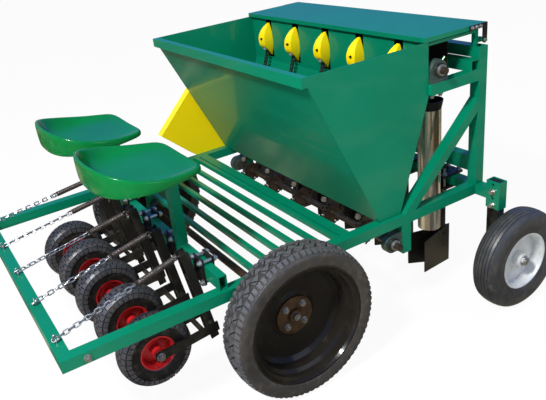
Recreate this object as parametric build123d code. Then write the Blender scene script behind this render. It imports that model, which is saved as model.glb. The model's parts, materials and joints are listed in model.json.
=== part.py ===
from build123d import *
import math
import os

# A five-row garlic planter for a tractor's three-point hitch.
# Millimetres. X points forward, Y to the left, Z up, and the wheels stand on Z 0.
# Lengths along X are first measured from the rear end of the frame, and place() then
# centres the whole machine on the origin.

# Overall layout
FRAME_TOP = 445.0
FRAME_HALF_WIDTH = 581.0
TUBE = 40.0
TUBE_WALL = 3.0
ROW_COUNT = 5
ROW_PITCH = 220.0
ELEVATOR_PITCH = 212.0
ANCHOR_PITCH = 247.0
ANCHOR_SHIFT = 16.0

# Drive wheels and their axle
DRIVE_WHEEL_RADIUS = 273.0
DRIVE_TYRE_WIDTH = 116.0
DRIVE_RIM_RADIUS = 214.0
DRIVE_RIM_WIDTH = 108.0
DRIVE_DISC_Y = -34.0
DRIVE_HUB_PLATE = 76.0
DRIVE_HUB_BORE = 25.0
DRIVE_BOLT_CIRCLE = 48.0
DRIVE_AXLE_RADIUS = 15.0
AXLE_RUNNING_GAP = 0.05

# Gauge wheels
GAUGE_WHEEL_RADIUS = 197.0
GAUGE_TYRE_WIDTH = 100.0
GAUGE_RIM_RADIUS = 112.0
GAUGE_RIM_WIDTH = 84.0
GAUGE_HUB_RADIUS = 27.0
GAUGE_AXLE_RADIUS = 12.0
GAUGE_LEG_DEPTH = 32.0
GAUGE_LEG_WIDTH = 52.0
GAUGE_LEG_TOP = 525.0
SLEEVE_HEIGHT = 112.0
SLEEVE_WALL = 4.0
SLEEVE_HOLE_COUNT = 4
SLEEVE_HOLE_TOP = 14.0
SLEEVE_HOLE_PITCH = 28.0
SLEEVE_HOLE_RADIUS = 5.5

# Press wheels, each on a fork below its own clamp
PRESS_WHEEL_RADIUS = 130.0
PRESS_WHEEL_X = 315.0
PRESS_WHEEL_Z = 251.0
PRESS_TYRE_WIDTH = 84.0
PRESS_RIM_RADIUS = 62.0
PRESS_RIM_WIDTH = 70.0
PRESS_HUB_RADIUS = 20.0
PRESS_AXLE_RADIUS = 8.0
PRESS_BAR_X = 541.0
PRESS_BAR_DEPTH = 30.0
PRESS_BAR_HEIGHT = 50.0
PRESS_LEG_X = 470.0
PRESS_LEG_LEAN = 60.0
PRESS_LEG_FOOT_Z = 205.0
PRESS_LEG_TOP_Z = 556.0
PIVOT_Z = 272.0
PIVOT_RADIUS = 9.0
FORK_BAR_Y = 52.0
FORK_BAR_THICKNESS = 6.0
FORK_BAR_DEPTH = 34.0
SPRING_RADIUS = 11.0
SPRING_LENGTH = 152.0

# Hopper, its hoods and its lid
HOPPER_TOP_Z = 1041.5
HOPPER_WALL_FOOT_Z = 850.0
HOPPER_SHEET = 3.0
HOPPER_LIP = 35.0
HOPPER_INNER_LIP = 22.0
SLOT_WIDTH = 46.0
HOOD_HALF_HEIGHT = 80.0
HOOD_REACH = 58.0
HOOD_WIDTH = 56.0
HOOD_TIP_WIDTH = 16.0
HOOD_CENTRE_Z = 942.0
HOOD_SHEET = 2.5
LID_THICKNESS = 3.0
LID_EDGE = 16.0
LID_SEAT_GAP = 0.3
LID_OVERLAP = 19.0
LID_PIN_RADIUS = 5.0
LID_PIN_DROP = 46.0
LID_ARM_LENGTH = 86.0
LID_ARM_WIDTH = 20.0
LID_ARM_THICKNESS = 5.0
LID_POST = 16.0
MOVING_GAP = 6.0

# Elevator shafts, sprockets and cup chains
HEAD_SHAFT_Z = 940.0
TAIL_SHAFT_Z = 340.0
SHAFT_RADIUS = 12.5
SHAFT_END = 26.0
HEAD_SPROCKET_RADIUS = 38.0
TAIL_SPROCKET_RADIUS = 38.0
CHAIN_WIDTH = 18.0
CHAIN_HEIGHT = 10.0
CUP_COUNT = 12
CUP_RADIUS = 11.0
CUP_DEPTH = 20.0
CUP_WALL = 2.0
CUP_SIDES = 6
CUP_SWEEP_GAP = 4.0
BEARING_RADIUS = 36.0
BEARING_FOOT = 13.0
BEARING_LENGTH = 76.0
BEARING_WIDTH = 34.0

# Front frame
UPPER_RAIL_TOP = 897.0
POST_TOP = 978.0
BEARING_POST_FOOT = 286.0
BRACE_HEAD_Z = 766.0
MID_BAR_BOTTOM = 494.0
MID_BAR_HEIGHT = 60.0

# Seats
SEAT_POST_Y = 273.0
SEAT_Y = 250.0
SEAT_POST_TOP = 752.0
SEAT_POST = 36.0
SEAT_X = 440.0
SEAT_LENGTH = 340.0
SEAT_WIDTH = 424.0
SEAT_FRONT_WIDTH = 350.0
SEAT_CORNER = 40.0
SEAT_DEPTH = 52.0
SEAT_SHELL = 12.0
SEAT_TILT = 7.0

# Sowing tubes and openers
DROP_TUBE_RADIUS = 45.0
DROP_TUBE_WALL = 2.0
DROP_TUBE_FOOT = 236.0
DROP_TUBE_TOP = 744.0
FUNNEL_RADIUS = 52.0
FUNNEL_HEIGHT = 34.0
SHANK_WIDTH = 40.0
SHANK_THICKNESS = 16.0
SHOE_TIP_Z = 30.0
SHOE_TOP_Z = 205.0
SHOE_SHEET = 4.0

# Step between the seats and the hopper
SLAT = 17.5
SLAT_COUNT = 6

# Three-point hitch, category 1
HITCH_PIN_RADIUS = 11.0
HITCH_PIN_Y = 341.5
HITCH_PIN_Z = 462.0
HITCH_PIN_LENGTH = 60.0
HITCH_MAST_HEIGHT = 460.0
TOP_LINK_RADIUS = 9.7
HITCH_PLATE = 12.0

# Chain drive to the elevator, on the left side
GUARD_WIDTH = 44.0
GUARD_SHEET = 2.0

# Places along the machine: each follows the piece that it stands next to
STEP_LENGTH = 487.0
HOPPER_LENGTH = 520.0
HOPPER_REACH_BACK = 122.0
HOPPER_FLOOR_LENGTH = 99.0
FLOOR_BEHIND_SHAFT = 53.0
SHAFT_BEFORE_HOPPER = 40.0
ELEVATOR_LEAN = 226.0
FRAME_BEFORE_SHAFT = 192.0
AXLE_BEHIND_STEP = 268.0
SLAT_CLEARANCE = 140.0
SHOE_NOSE = 32.0
SHOE_TAIL = 158.0
STEP_BAR_X = PRESS_BAR_X + STEP_LENGTH
HOPPER_REAR_X = STEP_BAR_X - HOPPER_REACH_BACK
HOPPER_FRONT_X = HOPPER_REAR_X + HOPPER_LENGTH
HEAD_SHAFT_X = HOPPER_FRONT_X + SHAFT_BEFORE_HOPPER
TAIL_SHAFT_X = HEAD_SHAFT_X - ELEVATOR_LEAN
HOPPER_FLOOR_REAR_X = TAIL_SHAFT_X - FLOOR_BEHIND_SHAFT
HOPPER_FLOOR_FRONT_X = HOPPER_FLOOR_REAR_X + HOPPER_FLOOR_LENGTH
BEARING_POST_X = TAIL_SHAFT_X + 61.0
BRACE_FOOT_X = BEARING_POST_X + 17.0
FRAME_LENGTH = HEAD_SHAFT_X + FRAME_BEFORE_SHAFT
TIE_BAR_X = FRAME_LENGTH - 21.0
LID_FRONT_X = FRAME_LENGTH + 42.0
HITCH_PIN_X = FRAME_LENGTH + 107.0
DRIVE_WHEEL_X = STEP_BAR_X - AXLE_BEHIND_STEP
SLAT_FIRST_X = STEP_BAR_X - 17.0
SLAT_PITCH = (SLAT_FIRST_X - PRESS_BAR_X - SLAT_CLEARANCE) / (SLAT_COUNT - 1)

# Places across the machine: each follows the side rails
DRIVE_WHEEL_Y = FRAME_HALF_WIDTH + 67.0
HOPPER_HALF_WIDTH = FRAME_HALF_WIDTH - 16.0
LID_HALF_WIDTH = HOPPER_HALF_WIDTH + 4.0
PRESS_BAR_HALF_WIDTH = FRAME_HALF_WIDTH - 14.0
GAUGE_LEG_Y = FRAME_HALF_WIDTH + 86.0
GAUGE_WHEEL_Y = GAUGE_LEG_Y + 101.0

ROW_YS = [(row - (ROW_COUNT - 1) / 2) * ROW_PITCH for row in range(ROW_COUNT)]
ELEVATOR_YS = [(row - (ROW_COUNT - 1) / 2) * ELEVATOR_PITCH for row in range(ROW_COUNT)]
SIDES = (-1, 1)
SHANK_X = FRAME_LENGTH - SHANK_WIDTH / 2
GAUGE_WHEEL_X = FRAME_LENGTH + TUBE / 2 - 6
TOOLBAR_HALF_WIDTH = GAUGE_LEG_Y - GAUGE_LEG_WIDTH / 2 - SLEEVE_WALL
DROP_TUBE_X = SHANK_X - SHANK_WIDTH / 2 - DROP_TUBE_RADIUS
GUARD_Y = FRAME_HALF_WIDTH
LID_POST_X = FRAME_LENGTH
MACHINE_LENGTH = GAUGE_WHEEL_X + GAUGE_WHEEL_RADIUS
CENTRE_X = MACHINE_LENGTH / 2
FRAME_BOTTOM = FRAME_TOP - TUBE
RAIL_INNER = FRAME_HALF_WIDTH - TUBE

nodes = {}


def place(shape):
    """Moves a shape from frame lengths to the machine's centred frame."""
    return Pos(-CENTRE_X, 0, 0) * shape


def keep(name, *shapes):
    """Stores one node, a set of solids that belong to one piece or one kind of piece."""
    solids = []
    for shape in shapes:
        solids.extend(shape.solids())
    nodes[name] = [place(solid) for solid in solids]


def block(x, y, z):
    """A box between the low and high value given for each axis."""
    size = [abs(span[1] - span[0]) for span in (x, y, z)]
    middle = [(span[0] + span[1]) / 2 for span in (x, y, z)]
    return Pos(*middle) * Box(*size)


def tube(x, y, z, along, wall=TUBE_WALL):
    """A square tube between the low and high value given for each axis."""
    spans = {"x": x, "y": y, "z": z}
    bore = {}
    for axis, span in spans.items():
        low, high = min(span), max(span)
        inset = -1.0 if axis == along else wall
        bore[axis] = (low + inset, high - inset)
    return block(x, y, z) - block(bore["x"], bore["y"], bore["z"])


def side_plate(points, y_low, y_high):
    """A plate with an outline of X and Z points, between two values of Y."""
    outline = make_face(Polyline(*[(px, y_low, pz) for px, pz in points], close=True))
    return extrude(outline, amount=y_high - y_low, dir=(0, 1, 0))


def flat_plate(points, z_low, z_high):
    """A plate with an outline of X and Y points, between two heights."""
    outline = make_face(Polyline(*[(px, py, z_low) for px, py in points], close=True))
    return extrude(outline, amount=z_high - z_low, dir=(0, 0, 1))


def rod_y(x, z, radius, y_low, y_high):
    """A round bar along Y."""
    middle = (y_low + y_high) / 2
    return Pos(x, middle, z) * Rot(90, 0, 0) * Cylinder(radius, abs(y_high - y_low))


def rod_between(start, end, radius):
    """A round bar from one point to another."""
    start, end = Vector(*start), Vector(*end)
    line = end - start
    plane = Plane(origin=start, z_dir=line.normalized())
    return extrude(plane * Circle(radius), amount=line.length)


def bar_between(start, end, depth, y_low, y_high):
    """A flat bar in the XZ plane from one point to another, with square ends."""
    run_x, run_z = end[0] - start[0], end[1] - start[1]
    length = math.hypot(run_x, run_z)
    side_x, side_z = -run_z / length * depth / 2, run_x / length * depth / 2
    points = [
        (start[0] - side_x, start[1] - side_z),
        (end[0] - side_x, end[1] - side_z),
        (end[0] + side_x, end[1] + side_z),
        (start[0] + side_x, start[1] + side_z),
    ]
    return side_plate(points, y_low, y_high)


def turned(profile):
    """A ring turned about Y from points of radius and Y."""
    outline = make_face(Polyline(*[(radius, y, 0) for radius, y in profile], close=True))
    return revolve(outline, Axis.Y, 360)


def mirror_pair(make):
    """The same piece on the right and on the left side."""
    return [make(side) for side in SIDES]


# Frame


def build_side_rails():
    def rail(side):
        outer, inner = side * FRAME_HALF_WIDTH, side * RAIL_INNER
        bore_outer = outer - side * TUBE_WALL
        bore_inner = inner + side * TUBE_WALL
        skin = flat_plate(
            [(0, outer), (FRAME_LENGTH, outer), (FRAME_LENGTH, inner), (TUBE, inner)],
            FRAME_BOTTOM, FRAME_TOP,
        )
        bore = flat_plate(
            [
                (TUBE_WALL, bore_outer), (FRAME_LENGTH + 1, bore_outer),
                (FRAME_LENGTH + 1, bore_inner), (TUBE - TUBE_WALL, bore_inner),
            ],
            FRAME_BOTTOM + TUBE_WALL, FRAME_TOP - TUBE_WALL,
        )
        return skin - bore

    keep("side_rails", *mirror_pair(rail))


def build_rear_crossbar():
    outer, inner = FRAME_HALF_WIDTH, RAIL_INNER
    skin = flat_plate(
        [(0, -outer), (0, outer), (TUBE, inner), (TUBE, -inner)], FRAME_BOTTOM, FRAME_TOP
    )
    wall = TUBE_WALL
    bore = flat_plate(
        [(wall, wall - outer), (wall, outer - wall), (TUBE - wall, inner + wall), (TUBE - wall, -inner - wall)],
        FRAME_BOTTOM + wall, FRAME_TOP - wall,
    )
    keep("rear_crossbar", skin - bore)


def build_step():
    y = (-RAIL_INNER, RAIL_INNER)
    keep("step_crossbar", tube((STEP_BAR_X, STEP_BAR_X + TUBE), y, (FRAME_BOTTOM, FRAME_TOP), "y"))
    slats = []
    for number in range(SLAT_COUNT):
        middle = SLAT_FIRST_X - number * SLAT_PITCH
        slats.append(tube((middle - SLAT / 2, middle + SLAT / 2), y, (FRAME_TOP - SLAT, FRAME_TOP), "y", 2))
    keep("footboard_slats", *slats)


def build_front_frame():
    front = (FRAME_LENGTH, FRAME_LENGTH + TUBE)
    bar = tube(front, (-TOOLBAR_HALF_WIDTH, TOOLBAR_HALF_WIDTH), (FRAME_BOTTOM, FRAME_TOP), "y")
    keep("opener_toolbar", bar)

    def post(side):
        return tube(front, (side * RAIL_INNER, side * FRAME_HALF_WIDTH), (FRAME_TOP, POST_TOP), "z")

    def upper_rail(side):
        return tube(
            (HOPPER_FRONT_X, FRAME_LENGTH), (side * RAIL_INNER, side * FRAME_HALF_WIDTH),
            (UPPER_RAIL_TOP - TUBE, UPPER_RAIL_TOP), "x",
        )

    def brace(side):
        reach = TUBE / 2 * 1.25
        points = [
            (BRACE_FOOT_X - reach, FRAME_TOP), (BRACE_FOOT_X + reach, FRAME_TOP),
            (FRAME_LENGTH, BRACE_HEAD_Z - reach), (FRAME_LENGTH, BRACE_HEAD_Z + reach),
        ]
        low, high = sorted((side * RAIL_INNER, side * FRAME_HALF_WIDTH))
        return side_plate(points, low, high)

    def bearing_post(side):
        return tube(
            (BEARING_POST_X - TUBE / 2, BEARING_POST_X + TUBE / 2),
            (side * RAIL_INNER, side * FRAME_HALF_WIDTH), (BEARING_POST_FOOT, FRAME_BOTTOM), "z",
        )

    keep("front_posts", *mirror_pair(post))
    keep("upper_rails", *mirror_pair(upper_rail))
    keep("diagonal_braces", *mirror_pair(brace))
    keep("bearing_posts", *mirror_pair(bearing_post))
    inner = (-RAIL_INNER, RAIL_INNER)
    top_bar = tube(front, inner, (POST_TOP - TUBE, POST_TOP), "y")
    middle_bar = tube(front, inner, (MID_BAR_BOTTOM, MID_BAR_BOTTOM + MID_BAR_HEIGHT), "y")
    tie_x = (TIE_BAR_X - TUBE / 2, TIE_BAR_X + TUBE / 2)
    tie_y = (-FRAME_HALF_WIDTH, FRAME_HALF_WIDTH)
    tie_bar = tube(tie_x, tie_y, (UPPER_RAIL_TOP, UPPER_RAIL_TOP + TUBE), "y")
    keep("front_crossbars", top_bar, middle_bar, tie_bar)


def build_hitch():
    toolbar_front = FRAME_LENGTH + TUBE
    mast_z = HITCH_PIN_Z + HITCH_MAST_HEIGHT
    lugs, pins, ears = [], [], []
    for side in SIDES:
        inner = side * (HITCH_PIN_Y - HITCH_PIN_LENGTH / 2)
        low, high = sorted((inner, inner - side * HITCH_PLATE))
        lug = side_plate(
            [
                (toolbar_front, FRAME_BOTTOM), (toolbar_front, MID_BAR_BOTTOM + MID_BAR_HEIGHT),
                (HITCH_PIN_X + 30, HITCH_PIN_Z + 30), (HITCH_PIN_X + 30, HITCH_PIN_Z - 30),
            ],
            low, high,
        )
        lugs.append(lug - rod_y(HITCH_PIN_X, HITCH_PIN_Z, HITCH_PIN_RADIUS + 4, low - 1, high + 1))
        reach = side * (HITCH_PIN_Y + HITCH_PIN_LENGTH / 2)
        pin = rod_y(HITCH_PIN_X, HITCH_PIN_Z, HITCH_PIN_RADIUS, *sorted((reach, inner)))
        pin += rod_y(HITCH_PIN_X, HITCH_PIN_Z, HITCH_PIN_RADIUS + 4, *sorted((inner, inner - side * HITCH_PLATE)))
        pin += rod_y(HITCH_PIN_X, HITCH_PIN_Z, 24, *sorted((inner - side * HITCH_PLATE, inner - side * (HITCH_PLATE + 10))))
        pins.append(pin)
        ear_low, ear_high = sorted((side * 28, side * (28 + HITCH_PLATE)))
        ear = side_plate(
            [
                (toolbar_front, POST_TOP - TUBE - 30), (toolbar_front, POST_TOP),
                (HITCH_PIN_X + 26, mast_z + 26), (HITCH_PIN_X + 26, mast_z - 26),
            ],
            ear_low, ear_high,
        )
        ears.append(ear - rod_y(HITCH_PIN_X, mast_z, TOP_LINK_RADIUS, ear_low - 1, ear_high + 1))
    keep("hitch_lugs", *lugs)
    keep("hitch_pins", *pins)
    keep("top_link_ears", *ears)


# Drive wheels


def build_drive_wheels():
    half = DRIVE_TYRE_WIDTH / 2
    rim = DRIVE_RIM_RADIUS
    crown = DRIVE_WHEEL_RADIUS
    rim_half = DRIVE_RIM_WIDTH / 2
    shoulder = crown - 14
    tyre_profile = [
        (rim, -rim_half), (rim + 9, -half), (shoulder - 14, -half), (shoulder, -half + 5), (crown - 4, -half + 15),
        (crown, -half + 30), (crown, half - 30), (crown - 4, half - 15), (shoulder, half - 5), (shoulder - 14, half),
        (rim + 9, half), (rim, rim_half),
    ]
    lip = rim - 6
    tyres, rims = [], []
    for side in SIDES:
        def at(shape):
            turn = Rot(0, 0, 0) if side > 0 else Rot(0, 0, 180)
            return Pos(DRIVE_WHEEL_X, side * DRIVE_WHEEL_Y, DRIVE_WHEEL_RADIUS) * turn * shape

        tyres.append(at(turned(tyre_profile)))
        face = DRIVE_DISC_Y
        barrel = turned([
            (rim, -rim_half), (rim, rim_half), (lip, rim_half), (lip - 5, rim_half - 10),
            (lip - 15, rim_half - 14), (lip - 15, rim_half - 34), (lip - 27, rim_half - 42), (lip - 31, face + 12),
            (lip - 46, face), (DRIVE_HUB_PLATE + 12, face - 10), (DRIVE_HUB_PLATE - 4, face - 4),
            (DRIVE_HUB_BORE, face - 4), (DRIVE_HUB_BORE, face - 10), (DRIVE_HUB_PLATE, face - 10),
            (DRIVE_HUB_PLATE + 14, face - 16), (lip - 36, face - 8), (lip - 15, -rim_half + 14),
            (lip - 5, -rim_half + 10), (lip, -rim_half),
        ])
        for turn_step in range(4):
            angle = math.radians(45 + 90 * turn_step)
            spot = (DRIVE_BOLT_CIRCLE * math.cos(angle), DRIVE_BOLT_CIRCLE * math.sin(angle))
            barrel -= rod_y(spot[0], spot[1], 7, face - 30, face + 10)
        rims.append(at(barrel))
    keep("drive_tyres", *tyres)
    keep("drive_rims", *rims)
    reach = DRIVE_WHEEL_Y + DRIVE_DISC_Y + 20
    axle = rod_y(DRIVE_WHEEL_X, DRIVE_WHEEL_RADIUS, DRIVE_AXLE_RADIUS, -reach, reach)
    keep("drive_axle", axle)
    hubs = []
    for side in SIDES:
        face = DRIVE_DISC_Y - 4
        hub = turned([
            (DRIVE_AXLE_RADIUS, face - 40), (DRIVE_AXLE_RADIUS, face + 16), (DRIVE_HUB_BORE, face + 16),
            (DRIVE_HUB_BORE, face + 8), (DRIVE_HUB_PLATE - 6, face + 8), (DRIVE_HUB_PLATE - 6, face),
            (DRIVE_HUB_BORE, face), (DRIVE_HUB_BORE, face - 40),
        ])
        turn = Rot(0, 0, 0) if side > 0 else Rot(0, 0, 180)
        hubs.append(Pos(DRIVE_WHEEL_X, side * DRIVE_WHEEL_Y, DRIVE_WHEEL_RADIUS) * turn * hub)
    keep("drive_hubs", *hubs)


def build_axle_hangers():
    inner = RAIL_INNER
    plates, housings = [], []
    for side in SIDES:
        low, high = sorted((side * (inner + 12), side * (inner + 20)))
        plate = side_plate(
            [
                (DRIVE_WHEEL_X - 35, FRAME_BOTTOM), (DRIVE_WHEEL_X - 45, DRIVE_WHEEL_RADIUS - 30),
                (DRIVE_WHEEL_X + 45, DRIVE_WHEEL_RADIUS - 30), (DRIVE_WHEEL_X + 235, FRAME_BOTTOM),
            ],
            low, high,
        )
        plates.append(plate - rod_y(DRIVE_WHEEL_X, DRIVE_WHEEL_RADIUS, DRIVE_AXLE_RADIUS + 8, low - 1, high + 1))
        near, far = side * (inner + 12), side * (inner - 22)
        housing = rod_y(DRIVE_WHEEL_X, DRIVE_WHEEL_RADIUS, 30, *sorted((near, far)))
        bore_radius = DRIVE_AXLE_RADIUS + AXLE_RUNNING_GAP
        housings.append(housing - rod_y(DRIVE_WHEEL_X, DRIVE_WHEEL_RADIUS, bore_radius, *sorted((near + side, far - side))))
    keep("axle_hangers", *plates)
    keep("axle_bearings", *housings)


# Gauge wheels


def small_wheel(radius, width, rim_radius, rim_width, hub_radius, bore_radius, hub_half):
    """The tyre and the dished rim of a small pneumatic wheel, centred and turned about Y."""
    half, rim_half = width / 2, rim_width / 2
    tyre = turned([
        (rim_radius, -rim_half), (rim_radius + 10, -rim_half - 3), (radius - 30, -half), (radius - 12, -half + 8),
        (radius, -half + 24), (radius, half - 24), (radius - 12, half - 8), (radius - 30, half),
        (rim_radius + 10, rim_half + 3), (rim_radius, rim_half),
    ])
    rim = turned([
        (rim_radius, -rim_half), (rim_radius, rim_half), (rim_radius - 4, rim_half), (rim_radius - 9, rim_half - 8),
        (rim_radius - 12, 5), (hub_radius + 12, 2), (hub_radius, 4), (hub_radius, hub_half),
        (bore_radius, hub_half), (bore_radius, -hub_half), (hub_radius, -hub_half), (hub_radius, -4),
        (hub_radius + 12, -3), (rim_radius - 12, 1), (rim_radius - 9, -rim_half + 8), (rim_radius - 4, -rim_half),
    ])
    return tyre, rim


def build_gauge_wheels():
    tyre, rim = small_wheel(
        GAUGE_WHEEL_RADIUS, GAUGE_TYRE_WIDTH, GAUGE_RIM_RADIUS, GAUGE_RIM_WIDTH,
        GAUGE_HUB_RADIUS, GAUGE_AXLE_RADIUS + AXLE_RUNNING_GAP, 38,
    )
    legs, sleeves = [], []
    for side, name in zip(SIDES, ("right", "left")):
        spot = Pos(GAUGE_WHEEL_X, side * GAUGE_WHEEL_Y, GAUGE_WHEEL_RADIUS)
        keep("gauge_tyre_" + name, spot * tyre)
        keep("gauge_rim_" + name, spot * rim)
        leg_y = side * GAUGE_LEG_Y
        leg = block(
            (GAUGE_WHEEL_X - GAUGE_LEG_DEPTH / 2, GAUGE_WHEEL_X + GAUGE_LEG_DEPTH / 2),
            (leg_y - GAUGE_LEG_WIDTH / 2, leg_y + GAUGE_LEG_WIDTH / 2),
            (GAUGE_WHEEL_RADIUS - 32, GAUGE_LEG_TOP),
        )
        stub_end = side * (GAUGE_WHEEL_Y + 38)
        stub = rod_y(GAUGE_WHEEL_X, GAUGE_WHEEL_RADIUS, GAUGE_AXLE_RADIUS, *sorted((leg_y, stub_end)))
        legs.append(leg + stub)
        sleeve_z = (FRAME_TOP - 20 - SLEEVE_HEIGHT / 2 + 5, FRAME_TOP - 20 + SLEEVE_HEIGHT / 2 + 5)
        half_x = GAUGE_LEG_DEPTH / 2
        half_y = GAUGE_LEG_WIDTH / 2
        wall = SLEEVE_WALL
        outer = block(
            (GAUGE_WHEEL_X - half_x - wall, GAUGE_WHEEL_X + half_x + wall),
            (leg_y - half_y - wall, leg_y + half_y + wall), sleeve_z,
        )
        bore = block(
            (GAUGE_WHEEL_X - half_x, GAUGE_WHEEL_X + half_x),
            (leg_y - half_y, leg_y + half_y), (sleeve_z[0] - 1, sleeve_z[1] + 1),
        )
        sleeve = outer - bore
        for step in range(SLEEVE_HOLE_COUNT):
            hole_z = sleeve_z[1] - SLEEVE_HOLE_TOP - step * SLEEVE_HOLE_PITCH
            start = (GAUGE_WHEEL_X - half_x - wall - 1, leg_y, hole_z)
            sleeve -= rod_between(start, (GAUGE_WHEEL_X + half_x + wall + 1, leg_y, hole_z), SLEEVE_HOLE_RADIUS)
        sleeves.append(sleeve)
    keep("gauge_legs", *legs)
    keep("gauge_sleeves", *sleeves)


# Press wheels


def build_press_units():
    tyre, rim = small_wheel(
        PRESS_WHEEL_RADIUS, PRESS_TYRE_WIDTH, PRESS_RIM_RADIUS, PRESS_RIM_WIDTH,
        PRESS_HUB_RADIUS, PRESS_AXLE_RADIUS + AXLE_RUNNING_GAP, 40,
    )
    legs, forks, axles, brackets, sleeves, chains = [], [], [], [], [], []
    bar_low, bar_high = FRAME_TOP, FRAME_TOP + PRESS_BAR_HEIGHT
    bar_rear = PRESS_BAR_X - PRESS_BAR_DEPTH / 2
    bar_front = PRESS_BAR_X + PRESS_BAR_DEPTH / 2
    plate = 8.0
    bolt = 5.0
    head = (PRESS_LEG_X, PRESS_LEG_TOP_Z)
    foot = (PRESS_LEG_X + PRESS_LEG_LEAN, PRESS_LEG_FOOT_Z)
    for number, y in enumerate(ROW_YS):
        spot = Pos(PRESS_WHEEL_X, y, PRESS_WHEEL_Z)
        keep("press_tyre_" + str(number + 1), spot * tyre)
        keep("press_rim_" + str(number + 1), spot * rim)
        leg_half = 22.0
        leg = bar_between(head, foot, 30, y - leg_half, y - leg_half + 6)
        leg += bar_between(head, foot, 30, y + leg_half - 6, y + leg_half)
        leg += block((PRESS_LEG_X - 8, PRESS_LEG_X + 14), (y - leg_half, y + leg_half), (PRESS_LEG_TOP_Z - 26, PRESS_LEG_TOP_Z - 4))
        pivot_share = (head[1] - PIVOT_Z) / (head[1] - foot[1])
        pivot_x = head[0] + (foot[0] - head[0]) * pivot_share
        legs.append(leg - rod_y(pivot_x, PIVOT_Z, PIVOT_RADIUS, y - FORK_BAR_Y, y + FORK_BAR_Y))
        arm_front = (pivot_x + 14, PIVOT_Z)
        arm_rear = (PRESS_WHEEL_X - 14, PRESS_WHEEL_Z - 1)
        for sign in SIDES:
            low, high = sorted((y + sign * FORK_BAR_Y, y + sign * (FORK_BAR_Y + FORK_BAR_THICKNESS)))
            arm = bar_between(arm_rear, arm_front, FORK_BAR_DEPTH, low, high)
            arm -= rod_y(PRESS_WHEEL_X, PRESS_WHEEL_Z, PRESS_AXLE_RADIUS, low - 1, high + 1)
            forks.append(arm)
        cross = rod_y(pivot_x, PIVOT_Z, PIVOT_RADIUS, y - FORK_BAR_Y, y + FORK_BAR_Y)
        cross += block((pivot_x - 46, pivot_x - 40), (y - FORK_BAR_Y, y + FORK_BAR_Y), (PIVOT_Z - 14, PIVOT_Z + 14))
        forks[-1] = forks[-1] + forks[-2] + cross
        forks.pop(-2)
        reach = FORK_BAR_Y + FORK_BAR_THICKNESS + 8
        axles.append(rod_y(PRESS_WHEEL_X, PRESS_WHEEL_Z, PRESS_AXLE_RADIUS, y - reach, y + reach))
        rear_plate = block((bar_rear - plate, bar_rear), (y - 34, y + 34), (bar_low - 22, bar_high + 22))
        front_plate = block((bar_front, bar_front + plate), (y - 34, y + 34), (bar_low - 22, bar_high + 22))
        clamp = [rear_plate, front_plate]
        for dy in (-28, 28):
            for z in (bar_low - 12, bar_high + 12):
                bolt_x = (bar_rear - plate - 10, bar_front + plate + 10)
                clamp.append(rod_between((bolt_x[0], y + dy, z), (bolt_x[1], y + dy, z), bolt))
        bracket = clamp[0]
        for piece in clamp[1:]:
            bracket += piece
        strut_top = block((PRESS_LEG_X + 4, bar_rear - plate), (y - leg_half + 6, y + leg_half - 6), (bar_low + 8, bar_low + 26))
        brackets.append(bracket + strut_top)
        start = (PRESS_LEG_X - 18, y, PRESS_LEG_TOP_Z - 12)
        anchor_y = y / ROW_PITCH * ANCHOR_PITCH + ANCHOR_SHIFT
        anchor = (TUBE / 2, anchor_y, FRAME_TOP + 12)
        line = Vector(*anchor) - Vector(*start)
        unit = line.normalized()
        sleeve_end = Vector(*start) + unit * SPRING_LENGTH
        eye = rod_between((PRESS_LEG_X - 8, y, PRESS_LEG_TOP_Z - 12), start, 5)
        sleeves.append(eye + rod_between(start, tuple(sleeve_end), SPRING_RADIUS))
        chains.append(rod_between(tuple(sleeve_end), anchor, 4.5) + rod_between((TUBE / 2, anchor_y, FRAME_TOP), anchor, 4.5))
    keep("press_legs", *legs)
    keep("press_forks", *forks)
    keep("press_axles", *axles)
    keep("press_brackets", *brackets)
    keep("arm_springs", *sleeves)
    keep("arm_chains", *chains)
    bar = tube(
        (bar_rear, bar_front), (-PRESS_BAR_HALF_WIDTH, PRESS_BAR_HALF_WIDTH), (bar_low, bar_high), "y"
    )
    keep("press_toolbar", bar)


def seat_outline(plane, length, width, front_width):
    """The seat seen from above: a wide round back that narrows to a straight front edge."""
    back, front = -length / 2, length / 2
    shoulder = back + length * 0.3
    left = Line((shoulder, width / 2), (front - SEAT_CORNER, front_width / 2))
    right = Line((front - SEAT_CORNER, -front_width / 2), (shoulder, -width / 2))
    front_left = Line((front, front_width / 2 - SEAT_CORNER), (front, SEAT_CORNER - front_width / 2))
    corner_left = Line(left @ 1, front_left @ 0)
    corner_right = Line(front_left @ 1, right @ 0)
    rim = ThreePointArc(right @ 1, (back, 0), left @ 0)
    return plane * make_face([left, corner_left, front_left, corner_right, right, rim])


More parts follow.
